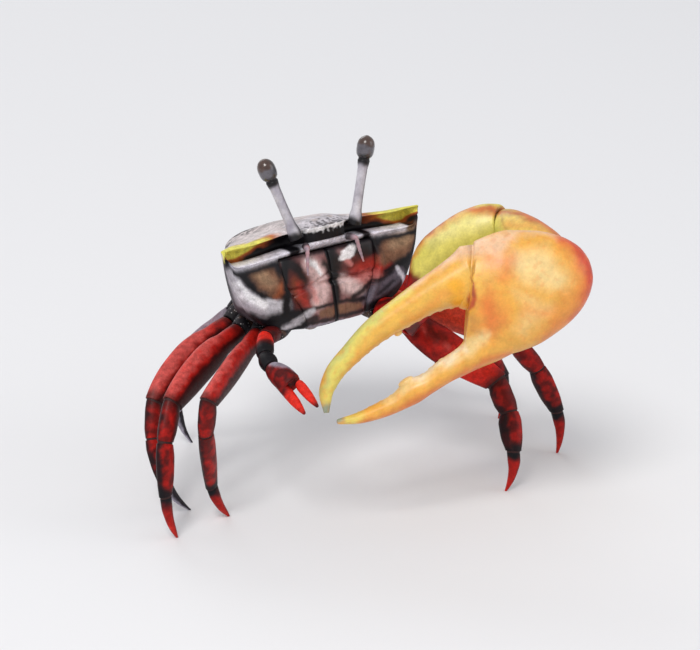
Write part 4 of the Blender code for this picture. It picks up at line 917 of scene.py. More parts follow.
def orbit_colours(off, down, points, wander, fine):
    """Black orbits, the shell's own black and painted shade in their hollows, under flame edges that widen
    outward, and the rim of the pale front lobe.
    """
    below = down - 0.16 - 0.46 * ramp(off + 0.5 * wander, 10.0, 15.5)
    outer = ramp(off + 0.8 * wander, 8.6, 11.5)
    front_lobe = fall(off + 0.3 * wander, 4.2, 5.2)
    return layers(plain(points, BLACK),
                  (RUST, ramp(off + 0.8 * wander, 7.4, 9.4) * fall(below + 0.14 * wander, 0.16, 0.34)),
                  (EMBER, outer * fall(below + 0.14 * wander, 0.02, 0.2)),
                  (YELLOW, ramp(off + 0.6 * wander, 10.5, 12.5) * fall(below + 0.12 * wander, -0.06, 0.08)),
                  (WHITE, 0.85 * front_lobe * fall(down + 0.22 * fine, 0.10, 0.34)))


def body_colours(left, forward, up, zone, points):
    """The top, the orbits, the face and the pale ridge under the eyes, and the side walls."""
    off = np.abs(left)
    wander = rough(points, 1.3, 1.0)
    fine = rough(points, 0.5, 31.0)
    lip = curve(off, CREST) - curve(off, FRONT_DROP)
    drop = ORBIT_HEIGHT * (0.45 + 0.55 * fall(off, 16.4, HALF_WIDTH))
    dark = plain(points, BLACK)
    is_top = (zone > TOP_START) | (zone < 0.1)
    is_orbit = (zone >= 0) & (zone < ORBIT_END) & (off < HALF_WIDTH)
    is_face = (zone >= ORBIT_END) & (zone < FACE_END)
    is_side = (zone >= FACE_END) & (zone <= TOP_START)
    colour = np.where(is_top[:, None], top_colours(off, forward, points, wander, fine), dark)
    orbit = orbit_colours(off, (lip - up) / drop, points, wander, fine)
    colour = np.where(is_orbit[:, None], orbit, colour)
    face = face_colours(left, up, points, over(dark, CHARCOAL, 0.5 + 0.5 * rough(points, 2.2, 12.0)))
    colour = np.where(is_face[:, None], face, colour)
    below = up - (lip - drop) + 0.10 * wander + 0.08 * fine
    on_ridge = sum(ramp(left, right_end - 0.3, right_end + 0.5) * fall(left, left_end - 0.5, left_end + 0.3)
                   for right_end, left_end in RIDGE_PARTS)
    in_front = (zone > 2.2) & (zone < 6.0)
    pale = on_ridge * np.clip(1.7 * np.exp(-((below + 0.05) / 0.50) ** 2), 0, 1)
    # Painted shadow in a band under the ridge below the eyes; the ridge is pale, its own colour with a
    # painted highlight in part.
    colour = layers(colour, (BLACK, in_front * np.exp(-((below + 1.2) / 0.5) ** 2) * (off < 17.2)),
                    (RIDGE_PALE, in_front * pale))
    at_band = fall(np.abs(up + 8.2), 2.6, 3.8)
    wall = layers(plain(points, CHARCOAL), (SLATE, 0.5 + 0.5 * rough(points, 2.5, 5.0)),
                  (BACK_WASH, 0.8 * ramp(zone, 11.6, 12.6) * ramp(off, 7.0, 10.0)),
                  (PALE, 0.9 * fall(zone + 0.3 * wander, 9.2, 10.4) * at_band))
    return np.where(is_side[:, None], wall, colour)


def build_body():
    """Body shell with its orbits, mouth frame and a grooved back."""
    half = np.concatenate((np.linspace(0, 16.2, 120), np.linspace(16.2, HALF_WIDTH, 26)[1:]))
    left = np.concatenate((-half[:0:-1], half))
    loops = closed_curve(body_loops(np.abs(left)), BODY_PER_SPAN)
    zone = np.tile(np.arange(loops.shape[1]) / BODY_PER_SPAN, (len(left), 1))
    across = np.tile(left[:, None], (1, loops.shape[1]))
    off = np.abs(across)
    forward, up = loops[..., 0], loops[..., 1]
    front = (zone > 3.2) & (zone < 9)
    inside = ramp(mouth_half_width(up) + 0.1 - off, -0.15, 0.25) * ramp(MOUTH_TOP + 0.1 - up, -0.15, 0.25)
    forward = np.where(front, forward + (np.minimum(MOUTH_FLOOR, forward) - forward) * inside, forward)
    rim = np.exp(-((off - mouth_half_width(up) - 0.75) / 0.5) ** 2) * ramp(MOUTH_TOP + 1.0 - up, 0, 1)
    swell = sum(stroke(across, up, path, 2.4) for path in FACE_LOBES)
    forward = forward + np.where(front & (inside < 0.5), 0.22 * rim + 0.35 * swell, 0.0)
    ridge = np.exp(-((zone - ORBIT_END) / 0.35) ** 2) * fall(off, 16.6, 17.4)
    forward = forward + ridge * (0.12 + 0.10 * np.cos(2 * pi * across / RIDGE_BEAD))
    on_top = ramp(zone, 14.5, 16) * fall(zone, 20.2, 20.9)
    lengthwise = np.exp(-((off - 5.2 + 0.10 * (forward - 2)) / 0.7) ** 2)
    lengthwise = lengthwise * ramp(forward, -7, -3) * fall(forward, 3, 7)
    crosswise = np.exp(-((forward + 1.0) / 0.6) ** 2) * (off < 5.2)
    up = up - BACK_GROOVE * (lengthwise + crosswise) * on_top
    points, faces = skin(body_point(across, forward, up))
    place = np.stack((across, forward, up, zone), -1).reshape(-1, 4)
    place = np.concatenate((place, [place[0], place[-1]]))
    painted("shell", points, faces, body_colours(*place.T, points), BODY_SHELL, "dark_shell", "carapace")


build_body()


# Thorax, tail flap, mouth plates

def socket(side, key):
    left, forward, up = SOCKETS[key]
    return body_point(SIDES[side] * left, forward, up)


def stub_rows(root):
    place, along, thin, half_width, half_thick = root
    inner = place - along * STUB_LENGTH + np.array((0, 0, 0.5))
    stations = ((0, half_width * 0.9, half_thick * 0.9), (0.55, half_width * 1.08, half_thick * 1.1),
                (1, half_width, half_thick))
    rings, _ = article_rows(inner, place, stations, along, along, thin, gap_start=0.0, rows=18)
    return with_sockets(rings)


def build_thorax(roots):
    rim = np.linspace(0.9, 1, 8)
    shares = np.concatenate((-rim[::-1], np.linspace(-0.88, 0.88, 60), rim))
    off = shares * THORAX_HALF_WIDTH
    round_off = 1.2 * np.abs(shares) ** 6
    front = THORAX_FRONT - 0.018 * off * off - round_off
    back = THORAX_BACK + 0.02 * off * off + round_off
    top = THORAX_TOP - 0.5 * round_off
    front_low = THORAX_FRONT_LOW + round_off + 0.012 * off * off
    back_low = THORAX_BACK_LOW + round_off
    points = ((front - 0.5, top), (front, top - 0.6), (front, front_low + 0.9), (front - 1.0, front_low),
              (0.5 * (front + back), 0.45 * front_low + 0.55 * back_low - 0.35), (back + 1.0, back_low),
              (back, back_low + 0.7), (back, top - 0.5), (back + 0.5, top))
    loops = closed_curve(np.stack([np.stack(p, -1) for p in points], 1), 8)
    across = np.tile(off[:, None], (1, loops.shape[1]))
    block = skin(body_point(across, loops[..., 0], loops[..., 1]))
    points, faces = joined([block] + [skin(stub_rows(root)) for root in roots])
    colours = layers(plain(points, CHARCOAL), (BROWN, 0.6 * patches(points, 1.4, 2.0, 0.0, 0.6)),
                     (BLACK, 0.9 * patches(points, 1.1, 4.0, -0.3, 0.3)))
    painted("underside", points, faces, colours, UNDER_SHELL, "underside_shell", "thorax")


def build_flap():
    """Tail flap in segments, from the back edge of the shell forward under the thorax."""
    path = np.array(FLAP_PATH)
    steps = np.concatenate(([0], np.cumsum(np.linalg.norm(np.diff(path, axis=0), axis=1))))
    corners = ((-1, 0.0), (1, 0.0), (1, 0.55), (0.8, 0.9), (0, 1.0), (-0.8, 0.9), (-1, 0.55))
    section = closed_curve(np.array([corners], float), 6)[0]

    def at(run):
        return np.array([curve(run, np.column_stack((steps, path[:, k]))) for k in range(2)])

    rows = []
    for run in np.linspace(0, steps[-1], FLAP_ROWS):
        forward, up = at(run)
        way = unit(at(run + 0.05) - at(run - 0.05))
        out = np.array((way[1], -way[0])) * FLAP_THICK
        half = curve(run, np.column_stack((steps, FLAP_WIDTHS)))
        segment = (run / steps[-1] * FLAP_SEGMENTS) % 1
        lift = 0.98 - 0.38 * np.exp(-(min(segment, 1 - segment) / 0.07) ** 2)
        rows.append(body_point(half * section[:, 0], forward + out[0] * section[:, 1] * lift,
                               up + out[1] * section[:, 1] * lift))
    points, faces = skin(rows)
    share = along_skin(np.linspace(0, 1, FLAP_ROWS), len(section))
    banded = np.abs((share * FLAP_SEGMENTS) % 1 - 0.5) * 2
    colours = layers(plain(points, PALE), (TAN, 0.4 + 0.4 * rough(points, 1.8, 6.0)),
                     (CHARCOAL, 0.9 * ramp(banded + 0.3 * rough(points, 1.1, 9.0), 0.35, 0.9)),
                     (CHARCOAL, 0.5 * patches(points, 0.9, 8.0, 0, 0.6)))
    painted("tail_flap", points, faces, colours, UNDER_SHELL, "underside_shell", "abdomen")


def mouth_skin_row(up, front):
    """A level of the dark skin behind the mouth plates."""
    half = mouth_half_width(up) + 0.2
    across = np.concatenate((np.linspace(-half, half, 60), (half, -half)))
    return across, np.append(np.full(60, front - 0.5), (front - 1.0, front - 1.0))


def mouth_plate_row(up, front):
    """A level of a mouth plate, with the seam between its articles and a line along its inner part."""
    half, inner = mouth_half_width(up), GAP / 2
    corners = ((inner, PLATE_BACK), (half, PLATE_BACK), (half, front - 0.8), (half - 0.35, front - 0.25),
               (half * 0.78, front), (half * 0.5, front + 0.12), (inner + 0.6, front - 0.05),
               (inner, front - 0.6))
    across, forward = closed_curve(np.array([corners]), 12)[0].T
    across = np.clip(across, inner, half)
    seam = np.exp(-((up + 10.2 + 0.35 * (across - 4)) / 0.22) ** 2)
    line = np.exp(-((across - 0.32 * half) / 0.25) ** 2) * (up < -10.5)
    return across, forward - np.where(forward > front - 0.6, 0.28 * seam + 0.16 * line, 0)


def mouth_sheet(row_at, sign):
    """Points, faces and places (left, up) of a sheet of the mouth, built level by level."""
    rows, places = [], []
    for row in np.linspace(0, MOUTH_ROWS[-1][0], MOUTH_LEVELS):
        up = MOUTH_LOW + row
        across, forward = row_at(up, PLATE_FRONT + curve(row, MOUTH_ROWS))
        rows.append(body_point(sign * across, forward, up))
        places.append(np.column_stack((sign * across, np.full(len(across), up))))
    return *skin(rows), np.concatenate(places + [places[0][:1], places[-1][:1]]).T


def build_mouth():
    """The two outer mouth plates and the dark skin that shows in the gap round them, darkened with painted
    shade, black at the midline.
    """
    points, faces, (left, up) = mouth_sheet(mouth_skin_row, 1)
    colours = face_colours(left, up, points, plain(points, MAROON))
    # Painted shade in the gaps round the plates: half dark, black at the midline crease.
    colours = over(colours, BLACK, 1 - 0.5 * ramp(np.abs(left), 0.3, 0.8))
    painted("mouth_skin", points, faces, colours, MOUTH_SHELL, "mouth_plates")
    for side, sign in SIDES.items():
        points, faces, (left, up) = mouth_sheet(mouth_plate_row, sign)
        base = over(plain(points, DUSKY), MAROON, 0.5 + 0.5 * rough(points, 1.8, 14.0))
        # Painted shade: black along the inner edge of each plate, at the midline crease.
        colours = over(face_colours(left, up, points, base), BLACK, fall(np.abs(left), 0.15, 0.6))
        painted("mouth_plate_" + side, points, faces, colours, MOUTH_SHELL, "mouth_plates",
                "maxilliped_" + side)


# Eyes and feelers

def turned(base, top, shares, halves, around, flat=1.0):
    """Skin of round rings at these shares of the way from base to top."""
    along = unit(top - base)
    across = unit(X - along * along[0])
    behind = np.cross(along, across)
    return skin([oval(base + (top - base) * share, across, behind, half, half * flat, around)
                 for share, half in zip(shares, halves)])


def build_eyes():
    left, forward, up = EYE_BASE
    for side, sign in SIDES.items():
        base, top = body_point(sign * left, forward, up), EYE_TOP[side]
        shares = np.linspace(0, EYE_SHARE, 60)
        halves = curve(shares, STALK_PROFILE)
        halves[-1] -= 0.12
        points, faces = turned(base, top, shares, halves, STALK_AROUND, 0.94)
        share = along_skin(shares, STALK_AROUND)
        wander = rough(points, 1.0, 7.0)
        side_way = (points - base) @ X - (top - base)[0] * share + 0.15 * wander
        # Painted shade on the stalk's side toward +X, slate deepening to charcoal; black at its foot and
        # under the eye.
        colours = layers(plain(points, LILAC), (WHITE, 0.30 + 0.35 * rough(points, 1.5, 5.0)),
                         (SLATE, 0.85 * ramp(side_way, 0.0, 0.6)),
                         (CHARCOAL, 0.85 * ramp(side_way, 0.45, 0.8)),
                         (BLACK, fall(share + 0.03 * wander, 0.04, 0.12)),
                         (BLACK, ramp(share + 0.02 * wander, EYE_SHARE - 0.09, EYE_SHARE - 0.03)))
        painted("stalk_" + side, points, faces, colours, STALK_SKIN, "eyestalk_grey", "eyestalk_" + side)

        start = EYE_SHARE + GAP / np.linalg.norm(top - base)
        shares = 0.5 - 0.5 * np.cos(np.linspace(0, pi, 44))
        halves = curve(shares, EYE_PROFILE)
        points, faces = turned(base, top, start + (1 - start) * shares, halves, EYE_AROUND)
        share = along_skin(shares, EYE_AROUND)
        wander = rough(points, 0.8, 3.0)
        colours = layers(plain(points, SLATE * 0.9), (EYE_BROWN, ramp(share + 0.12 * wander, 0.50, 0.66)),
                         (BLACK, 0.8 * ramp((points - top) @ X + 0.2 * wander, 0.3, 1.3)),
                         (BLACK, fall(share + 0.05 * wander, 0.06, 0.24)))
        painted("eye_" + side, points, faces, colours, EYE_GLOSS, "eye_dark", "cornea_" + side)

        shares = (EYE_SHARE - 0.04, EYE_SHARE - 0.005, start - 0.002, start + 0.03)
        points, faces = turned(base, top, shares, EYE_RING_HALVES, STALK_AROUND)
        painted("eye_ring_" + side, points, faces, plain(points, BLACK), STALK_SKIN, "eyestalk_grey")


def build_feelers():
    for side, sign in SIDES.items():
        root, bend, tip = (body_point(sign * left, forward, up) for left, forward, up in FEELER)
        knots = np.array((root, root + (bend - root) * 0.6, bend, bend + (tip - bend) * 0.5, tip))
        places = np.linspace(0, 4, 60)
        line = np.stack([curve(places, np.column_stack((np.arange(5), knots[:, k]))) for k in range(3)], -1)
        ways = unit(np.gradient(line, axis=0))
        widths = curve(places, np.column_stack((np.arange(5), FEELER_WIDTHS)))
        rows = []
        for i, (place, way, half) in enumerate(zip(line, ways, widths)):
            side_way = unit(np.cross(way, Z))
            ringed = half * (1 + 0.10 * cos(i * 1.4))
            rows.append(oval(place, side_way, np.cross(way, side_way), ringed, ringed, FEELER_AROUND))
        points, faces = skin(rows)
        colours = layers(plain(points, LILAC), (ROSE, 0.35 + 0.35 * rough(points, 0.9, 2.0)),
                         (CHARCOAL, 0.9 * fall(along_skin(places, FEELER_AROUND), 0.6, 1.8)))
        painted("feeler_" + side, points, faces, colours, STALK_SKIN, "eyestalk_grey", "antenna_" + side)


# Legs

def limb_ways(joints):
    """The way along each article of a limb, and the way that each of its joints is cut across."""
    ways = [unit(b - a) for a, b in zip(joints, joints[1:])]
    return ways, [ways[0]] + [unit(a + b) for a, b in zip(ways, ways[1:])] + [ways[-1]]


def leg_joints(side, number):
    """Socket, knee, wrist, ankle and foot of one leg."""
    sizes, pose = LEG_SIZES[number], LEG_POSE[side, number]
    root = socket(side, number)
    knee = np.array(pose["knee"])
    foot = np.array((*pose["foot"], 0.0))
    lean = radians(pose["toe_lean"])
    ankle = foot + np.array((SIDES[side] * sin(lean), 0, cos(lean))) * sizes["toe"]
    thigh_way, shin_way = unit(knee - root), unit(ankle - knee)
    wrist = knee + unit(thigh_way * WRIST_BEND + shin_way * (1 - WRIST_BEND)) * sizes["wrist"]
    return root, knee, wrist, ankle, foot


def leg_root(side, number):
    root, knee, _, ankle, _ = leg_joints(side, number)
    thigh_way = unit(knee - root)
    _, wide, thick = LEG_MERUS[0]
    sizes = LEG_SIZES[number]
    thin = unit(np.cross(thigh_way, ankle - knee))
    return root, thigh_way, thin, sizes["width"] * wide, sizes["thick"] * thick


def leg_colours(points, share, facing, kind, side, number):
    """Deep red, rosy with painted highlight above, painted shade near black below, near black at the
    joints; the far right leg and toes are grey.
    """
    wander = rough(points, 1.3, 2.0)
    fine = rough(points, 0.45, 6.0)
    lit = facing @ PAINTED_LIGHT_WAY + 0.25 * wander + 0.12 * fine
    outer = facing @ OUTER_WAY + 0.25 * wander + 0.15 * fine
    blotch = wander + 0.3 * fine
    far = side == "right" and number > 2
    red = plain(points, RED)
    if kind == "dactyl":
        if far:
            return layers(plain(points, LILAC), (CHARCOAL, ramp(-outer, -0.2, 0.5)),
                          (LILAC, 0.5 * ramp(outer, 0.2, 0.7)))
        # Red, brighter as painted light toward the lit way, darker as painted shade away from it, black at
        # the root.
        return layers(red, (SCARLET, 0.5 * ramp(share, 0.4, 0.8) * ramp(lit, -0.3, 0.4)),
                      (LEG_DARK, ramp(-lit, 0.0, 0.7)),
                      (BLACK, fall(share + 0.12 * wander, 0.05, 0.34)))
    if kind == "merus":
        reach = PAINTED_SHADE_REACH.get((side, number), 0.0)
        # Scarlet and a rosy painted highlight toward the light, painted shade up to each thigh's reach away
        # from it; dark at both joints.
        colours = layers(red, (SCARLET, 0.2 * ramp(lit, -0.2, 0.5)),
                         (HIGHLIGHT_PINK, 0.55 * ramp(lit, 0.62, 0.98) * ramp(share, 0.12, 0.35)),
                         (LEG_DARK, 0.95 * ramp(reach - lit, -0.2, 0.35)),
                         (LEG_DARK, 0.8 * fall(share + 0.08 * wander, 0.02, 0.16)),
                         (LEG_DARK, 0.75 * ramp(share + 0.05 * wander, 0.9, 1.0)))
    elif kind == "carpus":
        colours = layers(red, (LEG_DARK, 0.65 * ramp(blotch, -0.4, 0.4)),
                         (LEG_DARK, 0.85 * fall(share + 0.2 * wander, 0.0, 0.28)),
                         (BLACK, 0.85 * ramp(outer, 0.35, 0.85)),
                         (LEG_DARK, 0.8 * ramp(-outer, 0.45, 0.95)))
    else:
        colours = layers(red, (LEG_DARK, 0.75 * ramp(blotch, -0.4, 0.4)),
                         (BLACK, 0.9 * ramp(outer, 0.1, 0.65)),
                         (BLACK, 0.95 * ramp(share + 0.1 * wander, 0.78, 0.96)))
    return over(colours, LILAC * 0.8, 0.85) if far and number == 4 else colours


def gape_colours(colours, points, share, number):
    """The two left thighs that show in the gape of the claw: one dark toward its root with blotches of
    painted shade, one bright.
    """
    if number == 1:
        gape_shade = 0.7 * patches(points, 1.6, 8.0, -0.3, 0.4) * fall(share, 0.45, 0.7)
        return layers(colours, (LEG_DARK, gape_shade),
                      (SCARLET, 0.6 * ramp(share, 0.62, 0.78) * fall(share, 0.9, 1.0)))
    return over(colours, BRIGHT_RED, 0.85 * fall(share + 0.06 * rough(points, 1.2, 15.0), 0.8, 0.95))


def build_leg(side, number):
    """The four articles of a leg, whose toe is cut level, and the soft sleeves in its joints."""
    sizes = LEG_SIZES[number]
    joints = leg_joints(side, number)
    wide, thick = sizes["width"], sizes["thick"]
    ways, cuts = limb_ways(joints)
    cuts[-1] = -Z
    thin = unit(np.cross(ways[0], joints[3] - joints[1]))
    upward = 1 if np.cross(ways[0], thin)[2] > 0 else -1
    profiles = (("merus", LEG_MERUS, LEG_POSE[side, number]["bow"]), ("carpus", LEG_CARPUS, 0),
                ("propodus", LEG_PROPODUS, 0), ("dactyl", LEG_TOE, TOE_BOW))
    sleeves, edge = [], None
    for i, (kind, profile, arch) in enumerate(profiles):
        stations = [(share, wide * w, thick * t) for share, w, t in profile]
        ends = dict(rim=0.09)
        if kind == "dactyl":
            stations = [(share, w * (1 - TOE_SLIMMER * share), t) for share, w, t in stations]
            stations.append((1, TOE_POINT, TOE_POINT))
            ends = dict(rim=0.05, gap_end=0.0)
        rings, shares = article_rows(joints[i], joints[i + 1], stations, cuts[i], cuts[i + 1], thin,
                                     bow=upward * wide * arch, power=1.85, **ends)
        full = rings if kind == "dactyl" else with_sockets(rings)
        points, faces = skin(full)
        share = socketed_share(shares, full)
        colours = leg_colours(points, share, outward(full), kind, side, number)
        if side == "left" and number < 3 and kind == "merus":
            colours = gape_colours(colours, points, share, number)
        name = "%s_leg_%d_%s" % (side, number, kind)
        painted("shell_" + name, points, faces, colours, LEG_SHELL, "red_leg", name)
        if edge is not None:
            sleeves.append(skin(membrane_rows(edge, rings[0])))
        edge = rings[-1]
    sleeve = mesh_object("joint_skin_%s_leg_%d" % (side, number), *joined(sleeves))
    finish(sleeve, SOFT_SKIN, "red_leg")


# Large claw

CLAW_ACROSS = np.array((cos(CLAW_AZIMUTH), sin(CLAW_AZIMUTH), 0))
CLAW_OUT = np.array((sin(CLAW_AZIMUTH) * cos(CLAW_ELEVATION), -cos(CLAW_AZIMUTH) * cos(CLAW_ELEVATION),
                     sin(CLAW_ELEVATION)))
CLAW_UP = np.cross(CLAW_OUT, CLAW_ACROSS)


def claw_point(across, up, out=0.0):
    return CLAW_ORIGIN + CLAW_ACROSS * across + CLAW_UP * up + CLAW_OUT * out


def palm_rings(stations, around):
    rings = []
    for across in stations:
        top, low = curve(across, PALM_TOP), curve(across, PALM_LOW)
        share = max(0.0, (across - PALM_ROUND_FROM) / (HEEL + 0.15 - PALM_ROUND_FROM))
        narrowed = 1 - 0.10 * ramp(PALM_ROUND_FROM - across, 0, 4.9)
        swell = np.sqrt(1 - share ** 2.3) if share > 0 else narrowed
        lean = PALM_FRONT_LEAN * fall(across, -1, 6)
        up_way = unit(CLAW_UP + CLAW_ACROSS * lean)
        rings.append(oval(claw_point(across, 0.5 * (top + low)), up_way, CLAW_OUT, 0.5 * (top - low),
                          PALM_OUTER * swell, around, PALM_INNER * swell, power=2.15))
    return rings


def finger_line(run):
    """Smooth functions of the place along a finger: across, up, half height and half thickness."""
    table = np.array(run)
    lengths = np.concatenate(([0], np.cumsum(np.hypot(*np.diff(table[:, :2], axis=0).T))))
    shares = lengths / lengths[-1]
    return lambda share: np.array([curve(share, np.column_stack((shares, table[:, k]))) for k in range(4)])


def finger_way(at, share):
    """The way along a finger in the plane of the claw."""
    return unit(at(min(1, share + 0.02))[:2] - at(max(0, share - 0.02))[:2])


def finger_rings(run, rows, around):
    at = finger_line(run)
    rings = []
    for share in np.linspace(0, 1, rows):
        across, up, half, thick = at(share)
        way = finger_way(at, share)
        height_way = CLAW_ACROSS * -way[1] + CLAW_UP * way[0]
        rings.append(oval(claw_point(across, up), height_way, CLAW_OUT, half, thick, around, power=2.1))
    return rings


def tooth_row(teeth):
    """Place, radius and height of each tooth of one finger."""
    row = []
    for i in range(int((teeth["last"] - teeth["first"]) / LOW_TOOTH["spacing"]) + 1):
        share = teeth["first"] + i * LOW_TOOTH["spacing"]
        if min(abs(share - large[0]) for large in teeth["large"]) > 0.7 * LOW_TOOTH["spacing"]:
            slimmer = 1 - 0.4 * share ** 2
            row.append((share, LOW_TOOTH["radius"] * slimmer, LOW_TOOTH["height"] * slimmer))
    return row + list(teeth["large"])


def finger_teeth(run, teeth, biting_side):
    at = finger_line(run)
    made = []
    for share, radius, height in tooth_row(teeth):
        across, up, half, _ = at(share)
        way = finger_way(at, share)
        out = (CLAW_UP * way[0] - CLAW_ACROSS * way[1]) * biting_side
        seat = claw_point(across, up) + out * (half - 0.12)
        side = unit(np.cross(out, CLAW_OUT))
        rows = []
        for angle in TOOTH_ANGLES:
            rise = height * sin(angle) if angle >= 0 else angle
            width = radius * cos(max(angle, 0)) ** 0.8
            rows.append(oval(seat + out * rise, side, np.cross(out, side), width, width, 16))
        made.append(skin(rows))
    return made


def plane_colours(points, base, marks, coarse, fine):
    """Strokes laid in the plane of the claw; each waver is (height, size, seed across, seed up)."""
    away = points - CLAW_ORIGIN
    u, v = away @ CLAW_ACROSS, away @ CLAW_UP
    for height, size, seed_across, seed_up in (coarse, fine):
        u = u + height * rough(points, size, seed_across)
        v = v + height * rough(points, size, seed_up)
    return stroked(plain(points, base), marks, u, v)


def claw_colours(points):
    """Gold palm, cream in the middle with a painted highlight, rosy at the top corner and flame red along
    the heel.
    """
    colours = plane_colours(points, GOLD, CLAW_MARKS, (0.7, 2.4, 3.0, 5.0), (0.25, 0.8, 23.0, 25.0))
    return over(colours, ORANGE, 0.22 * patches(points, 0.7, 41.0, 0.1, 0.6))


def arm_colours(points):
    """Yellow-green, reddened along the outer edges, shaded where the claw lies against it."""
    return plane_colours(points, LEMON, ARM_MARKS, (0.6, 2.2, 33.0, 37.0), (0.2, 0.7, 35.0, 39.0))


def smoothed_union(name, parts, voxel, passes):
    """Several overlapping bodies as one even skin with soft junctions."""
    piece = mesh_object(name, *joined(parts))
    blend = piece.modifiers.new("union", "REMESH")
    blend.mode = "VOXEL"
    blend.voxel_size = voxel * MM
    relax = piece.modifiers.new("relax", "SMOOTH")
    relax.factor = 0.5
    relax.iterations = passes
    bpy.context.view_layer.update()
    mesh = bpy.data.meshes.new_from_object(piece.evaluated_get(bpy.context.evaluated_depsgraph_get()))
    piece.modifiers.clear()
    old = piece.data
    piece.data = mesh
    bpy.data.meshes.remove(old)
    return piece


def mesh_points(piece):
    flat = np.zeros(len(piece.data.vertices) * 3, np.float32)
    piece.data.vertices.foreach_get("co", flat)
    return flat.reshape(-1, 3).astype(float) / MM - STANCE_SHIFT


def build_palm():
    """Palm and fixed finger as one skin, and the teeth of that finger."""
    heel = HEEL_FROM + HEEL_LENGTH * np.sin(np.linspace(0, pi / 2, 24))[1:]
    stations = np.concatenate((np.linspace(PALM_FRONT, HEEL_FROM, 60), heel))
    parts = [skin(palm_rings(stations, around=96)), skin(finger_rings(FIXED_FINGER, rows=90, around=56))]
    palm = smoothed_union("palm_skin", parts, voxel=PALM_VOXEL, passes=8)
    paint(palm, claw_colours(mesh_points(palm)))
    palm.data.shade_smooth()
    finish(palm, CLAW_SHELL, "orange_claw", "major_palm")
    points, faces = joined(finger_teeth(FIXED_FINGER, FIXED_TEETH, -1))
    colours = over(claw_colours(points), CREAM, 0.5)
    painted("fixed_finger_teeth", points, faces, colours, CLAW_SHELL, "orange_claw")


def build_moving_finger():
    """Movable finger, cut back to the palm's leaning front, and the collar in the joint."""
    front = palm_rings((PALM_FRONT,), around=8)[0][0] - CLAW_ACROSS * GAP
    normal = unit(np.cross(CLAW_OUT, unit(CLAW_UP + CLAW_ACROSS * PALM_FRONT_LEAN)))
    rings = np.array(finger_rings(MOVING_FINGER, rows=110, around=64))

    def overlap(places):
        """How far places lie past that front, along the claw."""
        return ((front - places) @ normal) / (-CLAW_ACROSS @ normal)

    rings = rings - np.maximum(overlap(rings), 0)[..., None] * CLAW_ACROSS
    rings[0] = rings[0] - overlap(rings[0])[:, None] * CLAW_ACROSS
    points, faces = joined([skin(rings)] + finger_teeth(MOVING_FINGER, MOVING_TEETH, 1))
    painted("moving_finger", points, faces, claw_colours(points), CLAW_SHELL, "orange_claw", "major_dactyl")

    middle = rings[0].mean(0)
    collar = [middle + (rings[0] - middle) * scale + CLAW_ACROSS * step for step, scale in COLLAR]
    points, faces = skin(collar)
    painted("joint_skin_moving_finger", points, faces, claw_colours(points), CLAW_SHELL, "orange_claw")


def major_root():
    place = socket("left", "large_claw")
    return place, unit(ARM_ROOT - place), X, ARM_COXA[0][1], ARM_COXA[0][2]


def resampled(ring, count):
    """A closed ring with another number of points."""
    places = np.arange(count) * len(ring) / count
    closed = np.concatenate((ring, ring[:1]))
    return np.stack([np.interp(places, np.arange(len(closed)), closed[:, k]) for k in range(3)], -1)


def build_large_arm():
    place, first = major_root()[:2]
    arm, fore = unit(ARM_ELBOW - ARM_ROOT), unit(ARM_WRIST - ARM_ELBOW)
    root_cut, elbow_cut = unit(first + arm), unit(arm + fore)
    coxa, _ = article_rows(place, ARM_ROOT, ARM_COXA, first, root_cut, X, rows=24)
    upper = article_rows(ARM_ROOT, ARM_ELBOW, ARM_MERUS, root_cut, elbow_cut, CLAW_OUT, around=60, rows=70,
                         bow=ARM_BOW, rim=0.2)
    lower = article_rows(ARM_ELBOW, ARM_WRIST, ARM_CARPUS, elbow_cut, fore, CLAW_UP, around=60, rows=60,
                         bow=WRIST_BOW, rim=0.2)
    points, faces = skin(with_sockets(coxa))
    colours = over(plain(points, RED), LEG_DARK, 0.9 * patches(points, 1.5, 3.0, -0.3, 0.3))
    painted("arm_coxa", points, faces, colours, LEG_SHELL, "red_leg", "major_coxa")
    for kind, (rings, shares) in (("merus", upper), ("carpus", lower)):
        full = with_sockets(rings)
        points, faces = skin(full)
        edge = outward(full) @ ARM_RIM[kind] + 0.06 * rough(points, 1.2, 19.0)
        colours = layers(arm_colours(points), (FLAME, 0.55 * ramp(edge, 0.86, 0.98)),
                         (FIRE, 0.8 * ramp(edge, 0.95, 1.02)))
        if kind == "merus":
            share = socketed_share(shares, full)
            rooted = fall(share + 0.06 * rough(points, 1.4, 3.0), 0.27, 0.36)
            colours = layers(colours, (RED, rooted),
                             (LEG_DARK, 0.85 * rooted * patches(points, 1.6, 5.0, -0.3, 0.3)))
        painted("arm_" + kind, points, faces, colours, ARM_SHELL, "yellow_green_arm", "major_" + kind)
    points, faces = skin(membrane_rows(coxa[-1], resampled(upper[0][0], len(coxa[-1]))))
    finish(mesh_object("joint_skin_arm_root", points, faces), SOFT_SKIN, "red_leg")
    points, faces = skin(membrane_rows(upper[0][-1], lower[0][0], 0.985, 0.9))
    colours = over(arm_colours(points), OLIVE, 0.35)
    painted("joint_skin_elbow", points, faces, colours, ARM_SHELL, "yellow_green_arm")


# Small claw

def minor_root():
    place = socket("right", "small_claw")
    return place, unit(SMALL_ARM[0] - place), Z, SMALL_COXA[0][1], SMALL_COXA[0][2]


